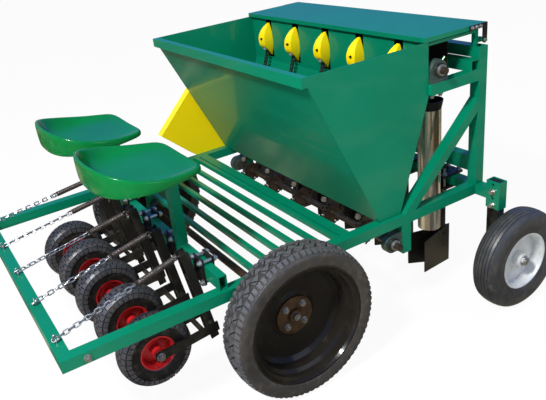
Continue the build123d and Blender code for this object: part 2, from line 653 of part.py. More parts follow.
def build_seats():
    posts, seats = [], []
    foot = FRAME_TOP + PRESS_BAR_HEIGHT
    for side in SIDES:
        post_y = side * SEAT_POST_Y
        post_x = (PRESS_BAR_X - SEAT_POST / 2, PRESS_BAR_X + SEAT_POST / 2)
        posts.append(tube(post_x, (post_y - SEAT_POST / 2, post_y + SEAT_POST / 2), (foot, SEAT_POST_TOP), "z"))
        y = side * SEAT_Y
        low = Plane((SEAT_X, y, SEAT_POST_TOP))
        tilt = math.radians(SEAT_TILT)
        normal = (math.sin(tilt), 0, math.cos(tilt))
        rim = Plane(origin=(SEAT_X, y, SEAT_POST_TOP + SEAT_DEPTH), x_dir=(math.cos(tilt), 0, -math.sin(tilt)), z_dir=normal)
        lip = Plane(origin=rim.origin + rim.z_dir * 0.5, x_dir=rim.x_dir, z_dir=rim.z_dir)
        dish = Plane(origin=low.origin + Vector(0, 0, SEAT_SHELL))
        pan = loft([
            seat_outline(low, SEAT_LENGTH - 80, SEAT_WIDTH - 100, SEAT_FRONT_WIDTH - 80),
            seat_outline(rim, SEAT_LENGTH, SEAT_WIDTH, SEAT_FRONT_WIDTH),
        ])
        hollow = loft([
            seat_outline(dish, SEAT_LENGTH - 110, SEAT_WIDTH - 140, SEAT_FRONT_WIDTH - 120),
            seat_outline(lip, SEAT_LENGTH - 40, SEAT_WIDTH - 44, SEAT_FRONT_WIDTH - 40),
        ])
        seats.append(pan - hollow)
    keep("seat_posts", *posts)
    keep("seats", *seats)


# Hopper and lid


def build_hopper():
    half = HOPPER_HALF_WIDTH
    sheet = HOPPER_SHEET
    rear, front = HOPPER_REAR_X, HOPPER_FRONT_X
    low_rear, low_front = HOPPER_FLOOR_REAR_X, HOPPER_FLOOR_FRONT_X
    top, knee, floor = HOPPER_TOP_Z, HOPPER_WALL_FOOT_Z, FRAME_TOP
    side_points = [(rear, top), (low_rear, floor), (low_front, floor), (front, knee), (front, top)]
    outer = side_plate(side_points, -half, half)
    run = math.hypot(low_rear - rear, top - floor)
    shift_x = sheet * run / (top - floor)
    front_run = math.hypot(front - low_front, knee - floor)
    shift_f = sheet * front_run / (knee - floor)
    inner_points = [
        (rear + shift_x, top + 1), (low_rear + shift_x * 0.75, floor + sheet),
        (low_front - shift_f * 0.75, floor + sheet), (front - sheet, knee + 1), (front - sheet, top + 1),
    ]
    inner = side_plate(inner_points, -half + sheet, half - sheet)
    body = outer - inner
    lip_outer, lip_inner = rear - sheet - 1, rear - 1
    rolled_edge = side_plate(
        [
            (lip_outer, top - HOPPER_LIP), (lip_outer, top), (rear + HOPPER_INNER_LIP, top),
            (rear + HOPPER_INNER_LIP, top - sheet), (lip_inner, top - sheet), (lip_inner, top - HOPPER_LIP),
        ],
        -half, half,
    )
    body += rolled_edge
    for y in ELEVATOR_YS:
        body -= block((front - 12, front + 1), (y - SLOT_WIDTH / 2, y + SLOT_WIDTH / 2), (knee + 16, top - 6))
        body -= block((low_rear + 18, low_front - 12), (y - SLOT_WIDTH / 2, y + SLOT_WIDTH / 2), (floor - 1, floor + sheet + 1))
    keep("hopper", body)


def build_hoods():
    hoods = []
    x, z = HOPPER_FRONT_X - HOPPER_SHEET, HOOD_CENTRE_Z
    reach, rise = HOOD_REACH, HOOD_HALF_HEIGHT
    radius = (rise * rise + reach * reach) / (2 * reach)
    half, tip = HOOD_WIDTH / 2, HOOD_TIP_WIDTH / 2

    def leaf(grow):
        """The hood's solid form: a round back that narrows to its upper and lower tips."""
        back = rod_y(x - reach + radius, z, radius + grow, -100, 100)
        back -= block((x, x + 4 * radius), (-200, 200), (z - 400, z + 400))
        low, high = z - rise, z + rise
        left = ThreePointArc((x, tip + grow, low), (x, half + grow, z), (x, tip + grow, high))
        right = ThreePointArc((x, -tip - grow, high), (x, -half - grow, z), (x, -tip - grow, low))
        outline = make_face([left, Line(left @ 1, right @ 0), right, Line(right @ 1, left @ 0)])
        return back & extrude(outline, amount=reach + 20, dir=(-1, 0, 0))

    outer = leaf(0.0)
    shell = outer - leaf(-HOOD_SHEET)
    shell -= block((x - HOOD_SHEET - 1, x + 1), (-half + 6, half - 6), (z - rise + 6, z + rise - 6))
    notch = CHAIN_WIDTH / 2 + 5
    shell -= block((x - reach - 10, x + 1), (-notch, notch), (z - rise - 10, z - rise * 0.2))
    for y in ELEVATOR_YS:
        hoods.append(Pos(0, y, 0) * shell)
    keep("chain_hoods", *hoods)


def build_lid():
    rear, front = HOPPER_FRONT_X - LID_OVERLAP, LID_FRONT_X
    low = HOPPER_TOP_Z + LID_SEAT_GAP
    top = low + LID_EDGE
    half = LID_HALF_WIDTH
    pin_z = low - LID_PIN_DROP
    pin_x = LID_POST_X + LID_POST + LID_ARM_WIDTH / 2 + MOVING_GAP
    lid = block((rear, front), (-half, half), (low, top)) - block(
        (rear + LID_THICKNESS, front - LID_THICKNESS), (LID_THICKNESS - half, half - LID_THICKNESS),
        (low - 1, top - LID_THICKNESS),
    )
    arms, posts = [], []
    for side in SIDES:
        inner = side * half
        outer = side * (half + LID_ARM_THICKNESS)
        arm_y = sorted((inner, outer))
        reach = LID_ARM_WIDTH / 2
        arm = side_plate(
            [
                (pin_x + reach - LID_ARM_LENGTH, top), (pin_x + reach, top), (pin_x + reach, pin_z),
                (pin_x - reach, pin_z), (pin_x - reach, low), (pin_x + reach - LID_ARM_LENGTH, low),
            ],
            *arm_y,
        )
        arm += rod_y(pin_x, pin_z, reach, *arm_y)
        arms.append(arm - rod_y(pin_x, pin_z, LID_PIN_RADIUS + AXLE_RUNNING_GAP, arm_y[0] - 1, arm_y[1] + 1))
        post_y = sorted((side * (FRAME_HALF_WIDTH - TUBE), side * (FRAME_HALF_WIDTH - TUBE + LID_POST)))
        post = block((LID_POST_X, LID_POST_X + LID_POST), post_y, (POST_TOP, low - MOVING_GAP))
        ear_y = sorted((post_y[0], post_y[1]))
        ear = block((LID_POST_X + LID_POST, pin_x + 8), ear_y, (pin_z - 8, pin_z + 8))
        pin_y = sorted((side * (FRAME_HALF_WIDTH - TUBE), side * (half + LID_ARM_THICKNESS + 6)))
        post += ear
        post += rod_y(pin_x, pin_z, LID_PIN_RADIUS, *pin_y)
        rail_y = sorted((side * (FRAME_HALF_WIDTH - TUBE), side * (FRAME_HALF_WIDTH - TUBE + 18)))
        rail = block((HOPPER_FRONT_X, LID_POST_X), rail_y, (low - MOVING_GAP - 10, low - MOVING_GAP))
        posts.append(post + rail)
    keep("lid", lid)
    keep("lid_arms", *arms)
    keep("lid_frame", *posts)


# Elevators


def loop_points(outset):
    """Tangent points and directions of the two straight runs of the chain loop."""
    dx, dz = HEAD_SHAFT_X - TAIL_SHAFT_X, HEAD_SHAFT_Z - TAIL_SHAFT_Z
    span = math.hypot(dx, dz)
    ux, uz = dx / span, dz / span
    head_r, tail_r = HEAD_SPROCKET_RADIUS + outset, TAIL_SPROCKET_RADIUS + outset
    lean = (head_r - tail_r) / span
    rise = math.sqrt(1 - lean * lean)
    runs = []
    for sign in (1, -1):
        nx = -uz * sign * rise - ux * lean
        nz = ux * sign * rise - uz * lean
        tail = (TAIL_SHAFT_X + nx * tail_r, TAIL_SHAFT_Z + nz * tail_r)
        head = (HEAD_SHAFT_X + nx * head_r, HEAD_SHAFT_Z + nz * head_r)
        runs.append((tail, head, (nx, nz)))
    return runs


def loop_band(inner, outer, y_low, y_high):
    """A closed belt around both sprockets, between two distances outside them."""
    def solid(outset, grow):
        rear, front = loop_points(outset)
        shape = side_plate([rear[0], rear[1], front[1], front[0]], y_low - grow, y_high + grow)
        for x, z, radius in (
            (HEAD_SHAFT_X, HEAD_SHAFT_Z, HEAD_SPROCKET_RADIUS), (TAIL_SHAFT_X, TAIL_SHAFT_Z, TAIL_SPROCKET_RADIUS)
        ):
            shape += rod_y(x, z, radius + outset, y_low - grow, y_high + grow)
        return shape

    return solid(outer, 0) - solid(inner, 1)


def cup_sweep(y):
    """The room that the descending cups need, with its gap."""
    tail, head, out = loop_points(CHAIN_HEIGHT + 2 * CUP_RADIUS + CUP_SWEEP_GAP)[1]
    inner = loop_points(0)[1]
    return side_plate([inner[0], inner[1], head, tail], y - 80, y + 80)


def cup_places():
    """Where each cup sits on the chain: its point, its way of travel and its outward way."""
    rear, front = loop_points(CHAIN_HEIGHT)
    rear_length = math.hypot(rear[1][0] - rear[0][0], rear[1][1] - rear[0][1])
    places = []
    run_cups = CUP_COUNT // 2
    pitch = rear_length / run_cups
    for run, sign in ((rear, 1), (front, -1)):
        tail, head, out = run
        way = ((head[0] - tail[0]) / rear_length * sign, (head[1] - tail[1]) / rear_length * sign)
        for number in range(run_cups):
            share = (number + 0.5) * pitch / rear_length
            point = (tail[0] + (head[0] - tail[0]) * share, tail[1] + (head[1] - tail[1]) * share)
            places.append((point, way, out))
    return places


def cup(point, way, out, y):
    """An open scoop that stands on the chain and faces the way it travels."""
    middle = (point[0] + out[0] * CUP_RADIUS, point[1] + out[1] * CUP_RADIUS)
    foot = Vector(middle[0] - way[0] * CUP_DEPTH / 2, y, middle[1] - way[1] * CUP_DEPTH / 2)
    plane = Plane(origin=foot, x_dir=(out[0], 0, out[1]), z_dir=(way[0], 0, way[1]))
    hexagon = RegularPolygon(CUP_RADIUS, CUP_SIDES, major_radius=False)
    hollow = RegularPolygon(CUP_RADIUS - CUP_WALL, CUP_SIDES, major_radius=False)
    bore_plane = Plane(origin=foot + plane.z_dir * CUP_WALL, x_dir=plane.x_dir, z_dir=plane.z_dir)
    return extrude(plane * hexagon, amount=CUP_DEPTH) - extrude(bore_plane * hollow, amount=CUP_DEPTH)


def build_elevators():
    loops, wheels = [], []
    for y in ELEVATOR_YS:
        belt = loop_band(0, CHAIN_HEIGHT, y - CHAIN_WIDTH / 2, y + CHAIN_WIDTH / 2)
        for point, way, out in cup_places():
            belt += cup(point, way, out, y)
        loops.append(belt)
        wheels.append(rod_y(HEAD_SHAFT_X, HEAD_SHAFT_Z, HEAD_SPROCKET_RADIUS, y - 6, y + 6))
        wheels.append(rod_y(TAIL_SHAFT_X, TAIL_SHAFT_Z, TAIL_SPROCKET_RADIUS, y - 6, y + 6))
    keep("cup_chains", *loops)
    reach = FRAME_HALF_WIDTH + SHAFT_END
    head = rod_y(HEAD_SHAFT_X, HEAD_SHAFT_Z, SHAFT_RADIUS, -reach, GUARD_Y + GUARD_WIDTH - 8)
    tail = rod_y(TAIL_SHAFT_X, TAIL_SHAFT_Z, SHAFT_RADIUS, -reach, reach)
    for index, wheel in enumerate(wheels):
        if index % 2 == 0:
            head = head + wheel
        else:
            tail = tail + wheel
    keep("elevator_shafts", head, tail)


def pillow_block(x, z, foot_z, side):
    """A cast bearing on two feet: a round housing that runs out into its base."""
    low, high = sorted((side * (FRAME_HALF_WIDTH - 3), side * (FRAME_HALF_WIDTH - 3 - BEARING_WIDTH)))
    up = 1 if z > foot_z else -1
    half = BEARING_LENGTH / 2
    base = side_plate(
        [
            (x - half, foot_z), (x + half, foot_z), (x + half, foot_z + up * BEARING_FOOT),
            (x - half, foot_z + up * BEARING_FOOT),
        ],
        low, high,
    )
    flank = BEARING_RADIUS * 0.97
    web = side_plate(
        [
            (x - flank * 1.06, foot_z + up * 2), (x + flank * 1.06, foot_z + up * 2),
            (x + flank, z), (x - flank, z),
        ],
        low + 4, high - 4,
    )
    housing = base + web + rod_y(x, z, BEARING_RADIUS, low + 4, high - 4)
    housing += rod_y(x, z, SHAFT_RADIUS + 7, low - 2, high + 2)
    return housing - rod_y(x, z, SHAFT_RADIUS, low - 4, high + 4)


def build_bearings():
    bearings = []
    for side in SIDES:
        bearings.append(pillow_block(HEAD_SHAFT_X, HEAD_SHAFT_Z, UPPER_RAIL_TOP, side))
        upright = pillow_block(0, TAIL_SHAFT_X - (BEARING_POST_X - TUBE / 2), 0, side)
        turned_block = Rot(0, 90, 0) * upright
        bearings.append(Pos(BEARING_POST_X - TUBE / 2, 0, TAIL_SHAFT_Z) * turned_block)
    keep("shaft_bearings", *bearings)


# Sowing tubes and openers


def build_openers():
    tubes, funnels, shanks, shoes, clamps = [], [], [], [], []
    for y in ELEVATOR_YS:
        pipe = Cylinder(DROP_TUBE_RADIUS, DROP_TUBE_TOP - DROP_TUBE_FOOT)
        pipe -= Cylinder(DROP_TUBE_RADIUS - DROP_TUBE_WALL, DROP_TUBE_TOP - DROP_TUBE_FOOT + 2)
        tubes.append(Pos(DROP_TUBE_X, y, (DROP_TUBE_TOP + DROP_TUBE_FOOT) / 2) * pipe)
        spot = Pos(DROP_TUBE_X, y, DROP_TUBE_TOP + FUNNEL_HEIGHT / 2)
        cone = spot * Cone(DROP_TUBE_RADIUS, FUNNEL_RADIUS, FUNNEL_HEIGHT)
        cone -= spot * Cone(DROP_TUBE_RADIUS - 3, FUNNEL_RADIUS - 3, FUNNEL_HEIGHT + 0.02)
        cone -= cup_sweep(y)
        funnels.append(cone)
        shank_x = (SHANK_X - SHANK_WIDTH / 2, SHANK_X + SHANK_WIDTH / 2)
        shank_y = (y - SHANK_THICKNESS / 2, y + SHANK_THICKNESS / 2)
        shanks.append(block(shank_x, shank_y, (120, MID_BAR_BOTTOM - 4)))
        bar_rear, bar_front = FRAME_LENGTH, FRAME_LENGTH + TUBE
        top = block((bar_rear - SHANK_WIDTH, bar_front + 20), (y - 40, y - SHANK_THICKNESS / 2), (FRAME_TOP, FRAME_TOP + 10))
        top += block((bar_rear - SHANK_WIDTH, bar_front + 20), (y + SHANK_THICKNESS / 2, y + 40), (FRAME_TOP, FRAME_TOP + 10))
        top += block((bar_rear, bar_front + 20), (y - 40, y + 40), (FRAME_TOP, FRAME_TOP + 10))
        low = block((bar_rear - SHANK_WIDTH, bar_front + 20), (y - 40, y - SHANK_THICKNESS / 2), (FRAME_BOTTOM - 10, FRAME_BOTTOM))
        low += block((bar_rear - SHANK_WIDTH, bar_front + 20), (y + SHANK_THICKNESS / 2, y + 40), (FRAME_BOTTOM - 10, FRAME_BOTTOM))
        low += block((bar_rear, bar_front + 20), (y - 40, y + 40), (FRAME_BOTTOM - 10, FRAME_BOTTOM))
        clamp = top + low
        for dx in (-30, TUBE + 10):
            for dy in (-28, 28):
                spot = (bar_rear + dx, y + dy)
                clamp += rod_between((*spot, FRAME_BOTTOM - 24), (*spot, FRAME_TOP + 24), 5)
        clamps.append(clamp)
        nose, tail = FRAME_LENGTH + SHOE_NOSE, FRAME_LENGTH - SHOE_TAIL
        half = DROP_TUBE_RADIUS + 4
        outer = flat_plate(
            [(nose, y), (tail, y - half), (tail, y + half)], SHOE_TIP_Z, SHOE_TOP_Z
        )
        inner = flat_plate(
            [(nose - 30, y), (tail - 1, y - half + SHOE_SHEET), (tail - 1, y + half - SHOE_SHEET)], SHOE_TIP_Z - 1, SHOE_TOP_Z + 1
        )
        keel = side_plate(
            [(nose + 1, SHOE_TIP_Z - 1), (tail - 1, SHOE_TIP_Z - 1), (tail - 1, SHOE_TIP_Z + 32)], y - half - 1, y + half + 1
        )
        shoe = outer - inner - keel
        shoe += block((shank_x[0] + 2, shank_x[1] - 2), (y - 14, y - SHANK_THICKNESS / 2), (118, 176))
        shoe += block((shank_x[0] + 2, shank_x[1] - 2), (y + SHANK_THICKNESS / 2, y + 14), (118, 176))
        shoes.append(shoe - block(shank_x, shank_y, (120, 300)))
    keep("drop_tubes", *tubes)
    keep("tube_funnels", *funnels)
    keep("opener_shanks", *shanks)
    keep("opener_clamps", *clamps)
    keep("opener_shoes", *shoes)


def build_chain_guard():
    low, high = GUARD_Y, GUARD_Y + GUARD_WIDTH
    rear, foot, bend = STEP_BAR_X - 162.0, STEP_BAR_X + 8.0, TAIL_SHAFT_X - 30.0
    knee, front, top = STEP_BAR_X + 18.0, HEAD_SHAFT_X + 64.0, HEAD_SHAFT_Z + 60.0
    low_z, open_z, knee_z, front_z = FRAME_TOP - 9.0, FRAME_TOP + 141.0, FRAME_TOP + 321.0, HEAD_SHAFT_Z - 35.0
    points = [
        (rear, open_z), (foot, low_z), (bend, low_z), (front, front_z), (front, top), (front - 120, top), (knee, knee_z),
    ]
    outer = side_plate(points, low, high)
    inset = GUARD_SHEET * 1.5
    inner_points = [
        (rear + inset * 2, open_z - 1), (foot, low_z - 1), (bend - inset, low_z - 1), (front - inset, front_z + inset / 2),
        (front - inset, top - inset), (front - 120 + inset, top - inset), (knee + inset, knee_z - inset),
    ]
    inner = side_plate(inner_points, low - 1, high - GUARD_SHEET)
    keep("chain_guard", outer - inner)


def build_all():
    build_side_rails()
    build_rear_crossbar()
    build_step()
    build_front_frame()
    build_hitch()
    build_drive_wheels()
    build_axle_hangers()
    build_gauge_wheels()
    build_press_units()
    build_seats()
    build_hopper()
    build_hoods()
    build_lid()
    build_elevators()
    build_bearings()
    build_openers()
    build_chain_guard()


build_all()
os.makedirs("parts", exist_ok=True)
for name, solids in nodes.items():
    shape = solids[0] if len(solids) == 1 else Compound(children=solids)
    export_step(shape, "parts/" + name + ".step")
    print(name, len(solids), "solids")
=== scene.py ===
# %% [markdown]
# # A garlic planter, dressed in Blender
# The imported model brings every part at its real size. This file gives each surface its finish, adds the
# small pieces that only the eye needs, such as tread, chain links and bolts, and sets up a plain studio.

# %% Load the frame
import json
import math

import bmesh
import bpy
import numpy as np
from mathutils import Matrix, Vector


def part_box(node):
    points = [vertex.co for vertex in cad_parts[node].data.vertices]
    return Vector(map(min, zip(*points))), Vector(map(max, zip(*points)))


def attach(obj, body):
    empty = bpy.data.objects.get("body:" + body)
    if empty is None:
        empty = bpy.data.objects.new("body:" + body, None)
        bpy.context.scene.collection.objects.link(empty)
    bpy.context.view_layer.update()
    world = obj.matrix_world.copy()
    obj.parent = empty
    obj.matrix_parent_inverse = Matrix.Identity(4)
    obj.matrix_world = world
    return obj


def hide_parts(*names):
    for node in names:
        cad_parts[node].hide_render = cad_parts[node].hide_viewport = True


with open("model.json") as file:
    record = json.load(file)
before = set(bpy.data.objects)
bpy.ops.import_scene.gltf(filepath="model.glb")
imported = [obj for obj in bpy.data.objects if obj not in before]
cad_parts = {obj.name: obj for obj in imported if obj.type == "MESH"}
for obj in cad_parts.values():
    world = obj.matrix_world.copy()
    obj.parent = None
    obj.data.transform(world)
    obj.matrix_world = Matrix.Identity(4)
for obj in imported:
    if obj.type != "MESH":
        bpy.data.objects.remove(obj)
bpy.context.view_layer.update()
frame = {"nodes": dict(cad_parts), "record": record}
nodes = frame["nodes"]
SIDES = {"right": -1, "left": 1}


# %% [markdown]
# ## Measures taken from the frame
# A piece that is added later has to sit on its part, so its place is read from the part's own box.

# %% Ends and top of the frame
MM = 0.001
rail_low, rail_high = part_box("side_rails")
FRAME_TOP = rail_high.z
REAR_X = rail_low.x
print("frame top", round(FRAME_TOP, 3), "rear end", round(REAR_X, 3))

# %% [markdown]
# ## The camera
# The photograph was taken standing at the right rear corner and looking down at the seats. Its place and
# lens were solved from the frame's straight edges, so the render falls on the same view.

# %% Camera
CAMERA_PLACE = Vector((-1.1099, -2.1402, 1.551))
CAMERA_YAW = math.radians(27.19)
CAMERA_PITCH = math.radians(24.69)
CAMERA_ROLL = math.radians(-7.81)
CAMERA_LENS = 42.325
CAMERA_SHIFT = (0.0648, -0.0049)


def make_camera():
    data = bpy.data.cameras.new("camera")
    camera = bpy.data.objects.new("camera", data)
    bpy.context.scene.collection.objects.link(camera)
    yaw, pitch, roll = CAMERA_YAW, CAMERA_PITCH, CAMERA_ROLL
    forward = Vector((math.sin(yaw) * math.cos(pitch), math.cos(yaw) * math.cos(pitch), -math.sin(pitch)))
    right = Vector((math.cos(yaw), -math.sin(yaw), 0))
    up = right.cross(forward)
    turned_right = math.cos(roll) * right + math.sin(roll) * up
    turned_up = math.cos(roll) * up - math.sin(roll) * right
    turn = Matrix((turned_right, turned_up, -forward)).transposed().to_4x4()
    camera.matrix_world = Matrix.Translation(CAMERA_PLACE) @ turn
    data.lens = CAMERA_LENS
    data.sensor_width = 36
    data.shift_x, data.shift_y = CAMERA_SHIFT
    data.clip_end = 100
    bpy.context.scene.camera = camera
    return camera


camera = make_camera()
print("camera at", [round(v, 3) for v in camera.location])

# %% [markdown]
# ## The studio
# Floor and world look plain white to the camera. In reflections the floor is a yard with dark and tan
# patches, and the world is a blue sky over warm ground, as outdoors. A small bright lamp high on the left
# stands for the sun, and a wide weak one on the right lifts the shade.

# %% The floor
FLOOR_SIZE = 60.0
FLOOR_COLOUR = (0.86, 0.86, 0.86, 1)
FLOOR_WHITE = 0.94  # the share of plain white that the camera sees, over the floor's own shading
YARD_SCALE = 1.7
YARD_COLOURS = ((0.44, (0.04, 0.034, 0.024)), (0.52, (0.15, 0.13, 0.09)), (0.6, (0.62, 0.54, 0.36)))


def make_floor():
    half = FLOOR_SIZE / 2
    mesh = bpy.data.meshes.new("floor")
    corners = [(-half, -half, 0), (half, -half, 0), (half, half, 0), (-half, half, 0)]
    mesh.from_pydata(corners, [], [(0, 1, 2, 3)])
    floor = bpy.data.objects.new("floor", mesh)
    bpy.context.scene.collection.objects.link(floor)
    material = bpy.data.materials.new("pale floor")
    material.use_nodes = True
    surface = material.node_tree.nodes["Principled BSDF"]
    surface.inputs["Base Color"].default_value = FLOOR_COLOUR
    surface.inputs["Roughness"].default_value = 0.9
    surface.inputs["Specular IOR Level"].default_value = 0.1
    tree = material.node_tree
    white = tree.nodes.new("ShaderNodeEmission")
    path = tree.nodes.new("ShaderNodeLightPath")
    share = tree.nodes.new("ShaderNodeMath")
    share.operation = "MULTIPLY"
    share.inputs[1].default_value = FLOOR_WHITE
    mix = tree.nodes.new("ShaderNodeMixShader")
    tree.links.new(path.outputs["Is Camera Ray"], share.inputs[0])
    tree.links.new(share.outputs[0], mix.inputs[0])
    tree.links.new(surface.outputs[0], mix.inputs[1])
    tree.links.new(white.outputs[0], mix.inputs[2])
    ground = tree.nodes.new("ShaderNodeEmission")
    place = tree.nodes.new("ShaderNodeTexCoord")
    patches = tree.nodes.new("ShaderNodeTexNoise")
    patches.inputs["Scale"].default_value = YARD_SCALE
    patches.inputs["Detail"].default_value = 3.0
    yard = tree.nodes.new("ShaderNodeValToRGB")
    yard.color_ramp.elements.new(0.5)
    for element, (spread, colour) in zip(yard.color_ramp.elements, YARD_COLOURS):
        element.position = spread
        element.color = (*colour, 1.0)
    tree.links.new(place.outputs["Object"], patches.inputs["Vector"])
    tree.links.new(patches.outputs[0], yard.inputs[0])
    tree.links.new(yard.outputs[0], ground.inputs["Color"])
    mirrored = tree.nodes.new("ShaderNodeMixShader")
    tree.links.new(path.outputs["Is Glossy Ray"], mirrored.inputs[0])
    tree.links.new(mix.outputs[0], mirrored.inputs[1])
    tree.links.new(ground.outputs[0], mirrored.inputs[2])
    tree.links.new(mirrored.outputs[0], tree.nodes["Material Output"].inputs["Surface"])
    mesh.materials.append(material)
    return floor


make_floor()

# %% The world
SKY_STOPS = (
    (0.0, (0.3, 0.24, 0.16)), (0.47, (0.3, 0.28, 0.22)), (0.52, (0.5, 0.6, 0.7)), (0.57, (0.1, 0.32, 1.0)),
    (1.0, (0.05, 0.24, 0.85)),
)


def make_world(strength, shine):
    """A plain dome: white to the camera, and a blue-grey sky over warm ground in the reflections."""
    world = bpy.data.worlds.new("studio")
    bpy.context.scene.world = world
    world.use_nodes = True
    tree = world.node_tree
    dome = tree.nodes["Background"]
    dome.inputs["Color"].default_value = (0.97, 0.98, 1.0, 1)
    dome.inputs["Strength"].default_value = strength
    white = tree.nodes.new("ShaderNodeBackground")
    white.inputs["Strength"].default_value = 1.0
    sky = tree.nodes.new("ShaderNodeBackground")
    sky.inputs["Strength"].default_value = shine
    way = tree.nodes.new("ShaderNodeTexCoord")
    split = tree.nodes.new("ShaderNodeSeparateXYZ")
    ramp = tree.nodes.new("ShaderNodeValToRGB")
    while len(ramp.color_ramp.elements) < len(SKY_STOPS):
        ramp.color_ramp.elements.new(0.5)
    for element, (place, colour) in zip(ramp.color_ramp.elements, SKY_STOPS):
        element.position = place
        element.color = (*colour, 1.0)
    height = tree.nodes.new("ShaderNodeMapRange")
    height.inputs["From Min"].default_value = -1.0
    tree.links.new(way.outputs["Generated"], split.inputs[0])
    tree.links.new(split.outputs["Z"], height.inputs["Value"])
    tree.links.new(height.outputs[0], ramp.inputs[0])
    tree.links.new(ramp.outputs[0], sky.inputs["Color"])
    path = tree.nodes.new("ShaderNodeLightPath")
    glossy = tree.nodes.new("ShaderNodeMixShader")
    tree.links.new(path.outputs["Is Glossy Ray"], glossy.inputs["Fac"])
    tree.links.new(dome.outputs[0], glossy.inputs[1])
    tree.links.new(sky.outputs[0], glossy.inputs[2])
    mix = tree.nodes.new("ShaderNodeMixShader")
    tree.links.new(path.outputs["Is Camera Ray"], mix.inputs["Fac"])
    tree.links.new(glossy.outputs[0], mix.inputs[1])
    tree.links.new(white.outputs[0], mix.inputs[2])
    tree.links.new(mix.outputs[0], tree.nodes["World Output"].inputs["Surface"])


make_world(strength=0.46, shine=0.7)


# %% The lamps
def make_lamp(name, place, aim, size, power):
    data = bpy.data.lights.new(name, "AREA")
    data.shape = "RECTANGLE"
    data.size, data.size_y = size
    data.energy = power
    lamp = bpy.data.objects.new(name, data)
    bpy.context.scene.collection.objects.link(lamp)
    lamp.location = place
    lamp.rotation_euler = (Vector(aim) - Vector(place)).to_track_quat("-Z", "Y").to_euler()
    return lamp


make_lamp("key", place=(-3.5, -1.9, 4.7), aim=(0, 0, 0.4), size=(0.7, 0.7), power=400)
make_lamp("fill", place=(1.6, -4.6, 2.6), aim=(0.2, 0, 0.5), size=(2.5, 2.5), power=26)
bpy.context.scene.view_settings.view_transform = "Standard"
print("studio ready")


# %% [markdown]
# ## Shader maths as plain expressions
# A pattern is easier to read as a formula than as a tangle of nodes. This small class wraps a socket, and
# every sum or product written with it adds the Math node that works it out.


# %% Sockets that can be added and multiplied
class Field:
    """A number that changes over a surface, kept as a socket of a node tree."""

    def __init__(self, tree, socket):
        self.tree = tree
        self.socket = socket

    def _math(self, operation, first, second):
        node = self.tree.nodes.new("ShaderNodeMath")
        node.operation = operation
        for entry, value in zip(node.inputs, (first, second)):
            if isinstance(value, Field):
                self.tree.links.new(value.socket, entry)
            else:
                entry.default_value = value
        return Field(self.tree, node.outputs[0])

    def __add__(self, other):
        return self._math("ADD", self, other)

    def __radd__(self, other):
        return self._math("ADD", other, self)

    def __sub__(self, other):
        return self._math("SUBTRACT", self, other)

    def __mul__(self, other):
        return self._math("MULTIPLY", self, other)

    def __truediv__(self, other):
        return self._math("DIVIDE", self, other)

    def clipped(self):
        return self._math("MINIMUM", self._math("MAXIMUM", self, 0.0), 1.0)

    def step(self, low, high):
        """0 below low, 1 above high, and a straight ramp between them."""
        return ((self - low) / (high - low)).clipped()


# %% A material, built node by node
class Finish:
    """A material under construction, with one method that adds any node."""

    def __init__(self, name):
        self.material = bpy.data.materials.new(name)
        self.material.use_nodes = True
        self.tree = self.material.node_tree
        self.surface = self.tree.nodes["Principled BSDF"]
        self.place = self.node("ShaderNodeTexCoord").outputs["Object"]

    def node(self, kind, settings=None, **inputs):
        made = self.tree.nodes.new(kind)
        for key, value in (settings or {}).items():
            setattr(made, key, value)
        for key, value in inputs.items():
            self.plug(made.inputs[key.replace("_", " ")], value)
        return made

    def plug(self, entry, value):
        if isinstance(value, Field):
            self.tree.links.new(value.socket, entry)
        elif isinstance(value, bpy.types.NodeSocket):
            self.tree.links.new(value, entry)
        else:
            entry.default_value = value

    def field(self, socket):
        return Field(self.tree, socket)

    def noise(self, scale, detail=3.0, rough=0.5, place=None):
        made = self.node(
            "ShaderNodeTexNoise", Vector=place or self.place, Scale=scale, Detail=detail, Roughness=rough,
        )
        return self.field(made.outputs["Fac"])

    def blend(self, share, first, second):
        """A colour between two colours."""
        made = self.node("ShaderNodeMix", {"data_type": "RGBA"})
        self.plug(made.inputs[0], share)
        self.plug(made.inputs[6], first)
        self.plug(made.inputs[7], second)
        return made.outputs[2]

    def bump(self, height, distance, strength=1.0):
        made = self.node("ShaderNodeBump", Height=height, Distance=distance, Strength=strength)
        self.plug(self.surface.inputs["Normal"], made.outputs["Normal"])

    def set(self, **inputs):
        for key, value in inputs.items():
            self.plug(self.surface.inputs[key.replace("_", " ")], value)
        return self


def rgb(red, green, blue):
    """A colour given as it looks on a screen, from 0 to 255, turned to linear light."""
    channels = []
    for value in (red, green, blue):
        share = value / 255
        channels.append(share / 12.92 if share <= 0.04045 else ((share + 0.055) / 1.055) ** 2.4)
    return (*channels, 1.0)


print("shader helpers ready")


# %% [markdown]
# ## Finishes
# Sprayed enamel has a gloss with a faint orange peel, and it carries dust and small colour shifts. The
# metals differ mostly in how rough they are and how far their two tones lie apart.


# %% Painted steel
def painted(name, colour, shade, rough=0.28, dust=0.5, coat=0.3, shine=0.3):
    finish = Finish(name)
    cloud = finish.noise(3.2, 4.0, 0.6)
    speck = finish.noise(90.0, 3.0, 0.6)
    tone = finish.blend(cloud.step(0.35, 0.7), colour, shade)
    dirt = finish.noise(9.0, 6.0, 0.65).step(0.52, 0.8) * dust
    tone = finish.blend(dirt * 0.3, tone, rgb(120, 116, 92))
    finish.set(Base_Color=tone, Roughness=(rough + dirt * 0.25 + speck * 0.08))
    finish.set(Coat_Weight=coat, Coat_Roughness=0.05, Specular_IOR_Level=shine)
    peel = finish.noise(260.0, 2.0, 0.5)
    finish.bump(peel + speck * 0.6, 0.00022, 0.5)
    return finish.material


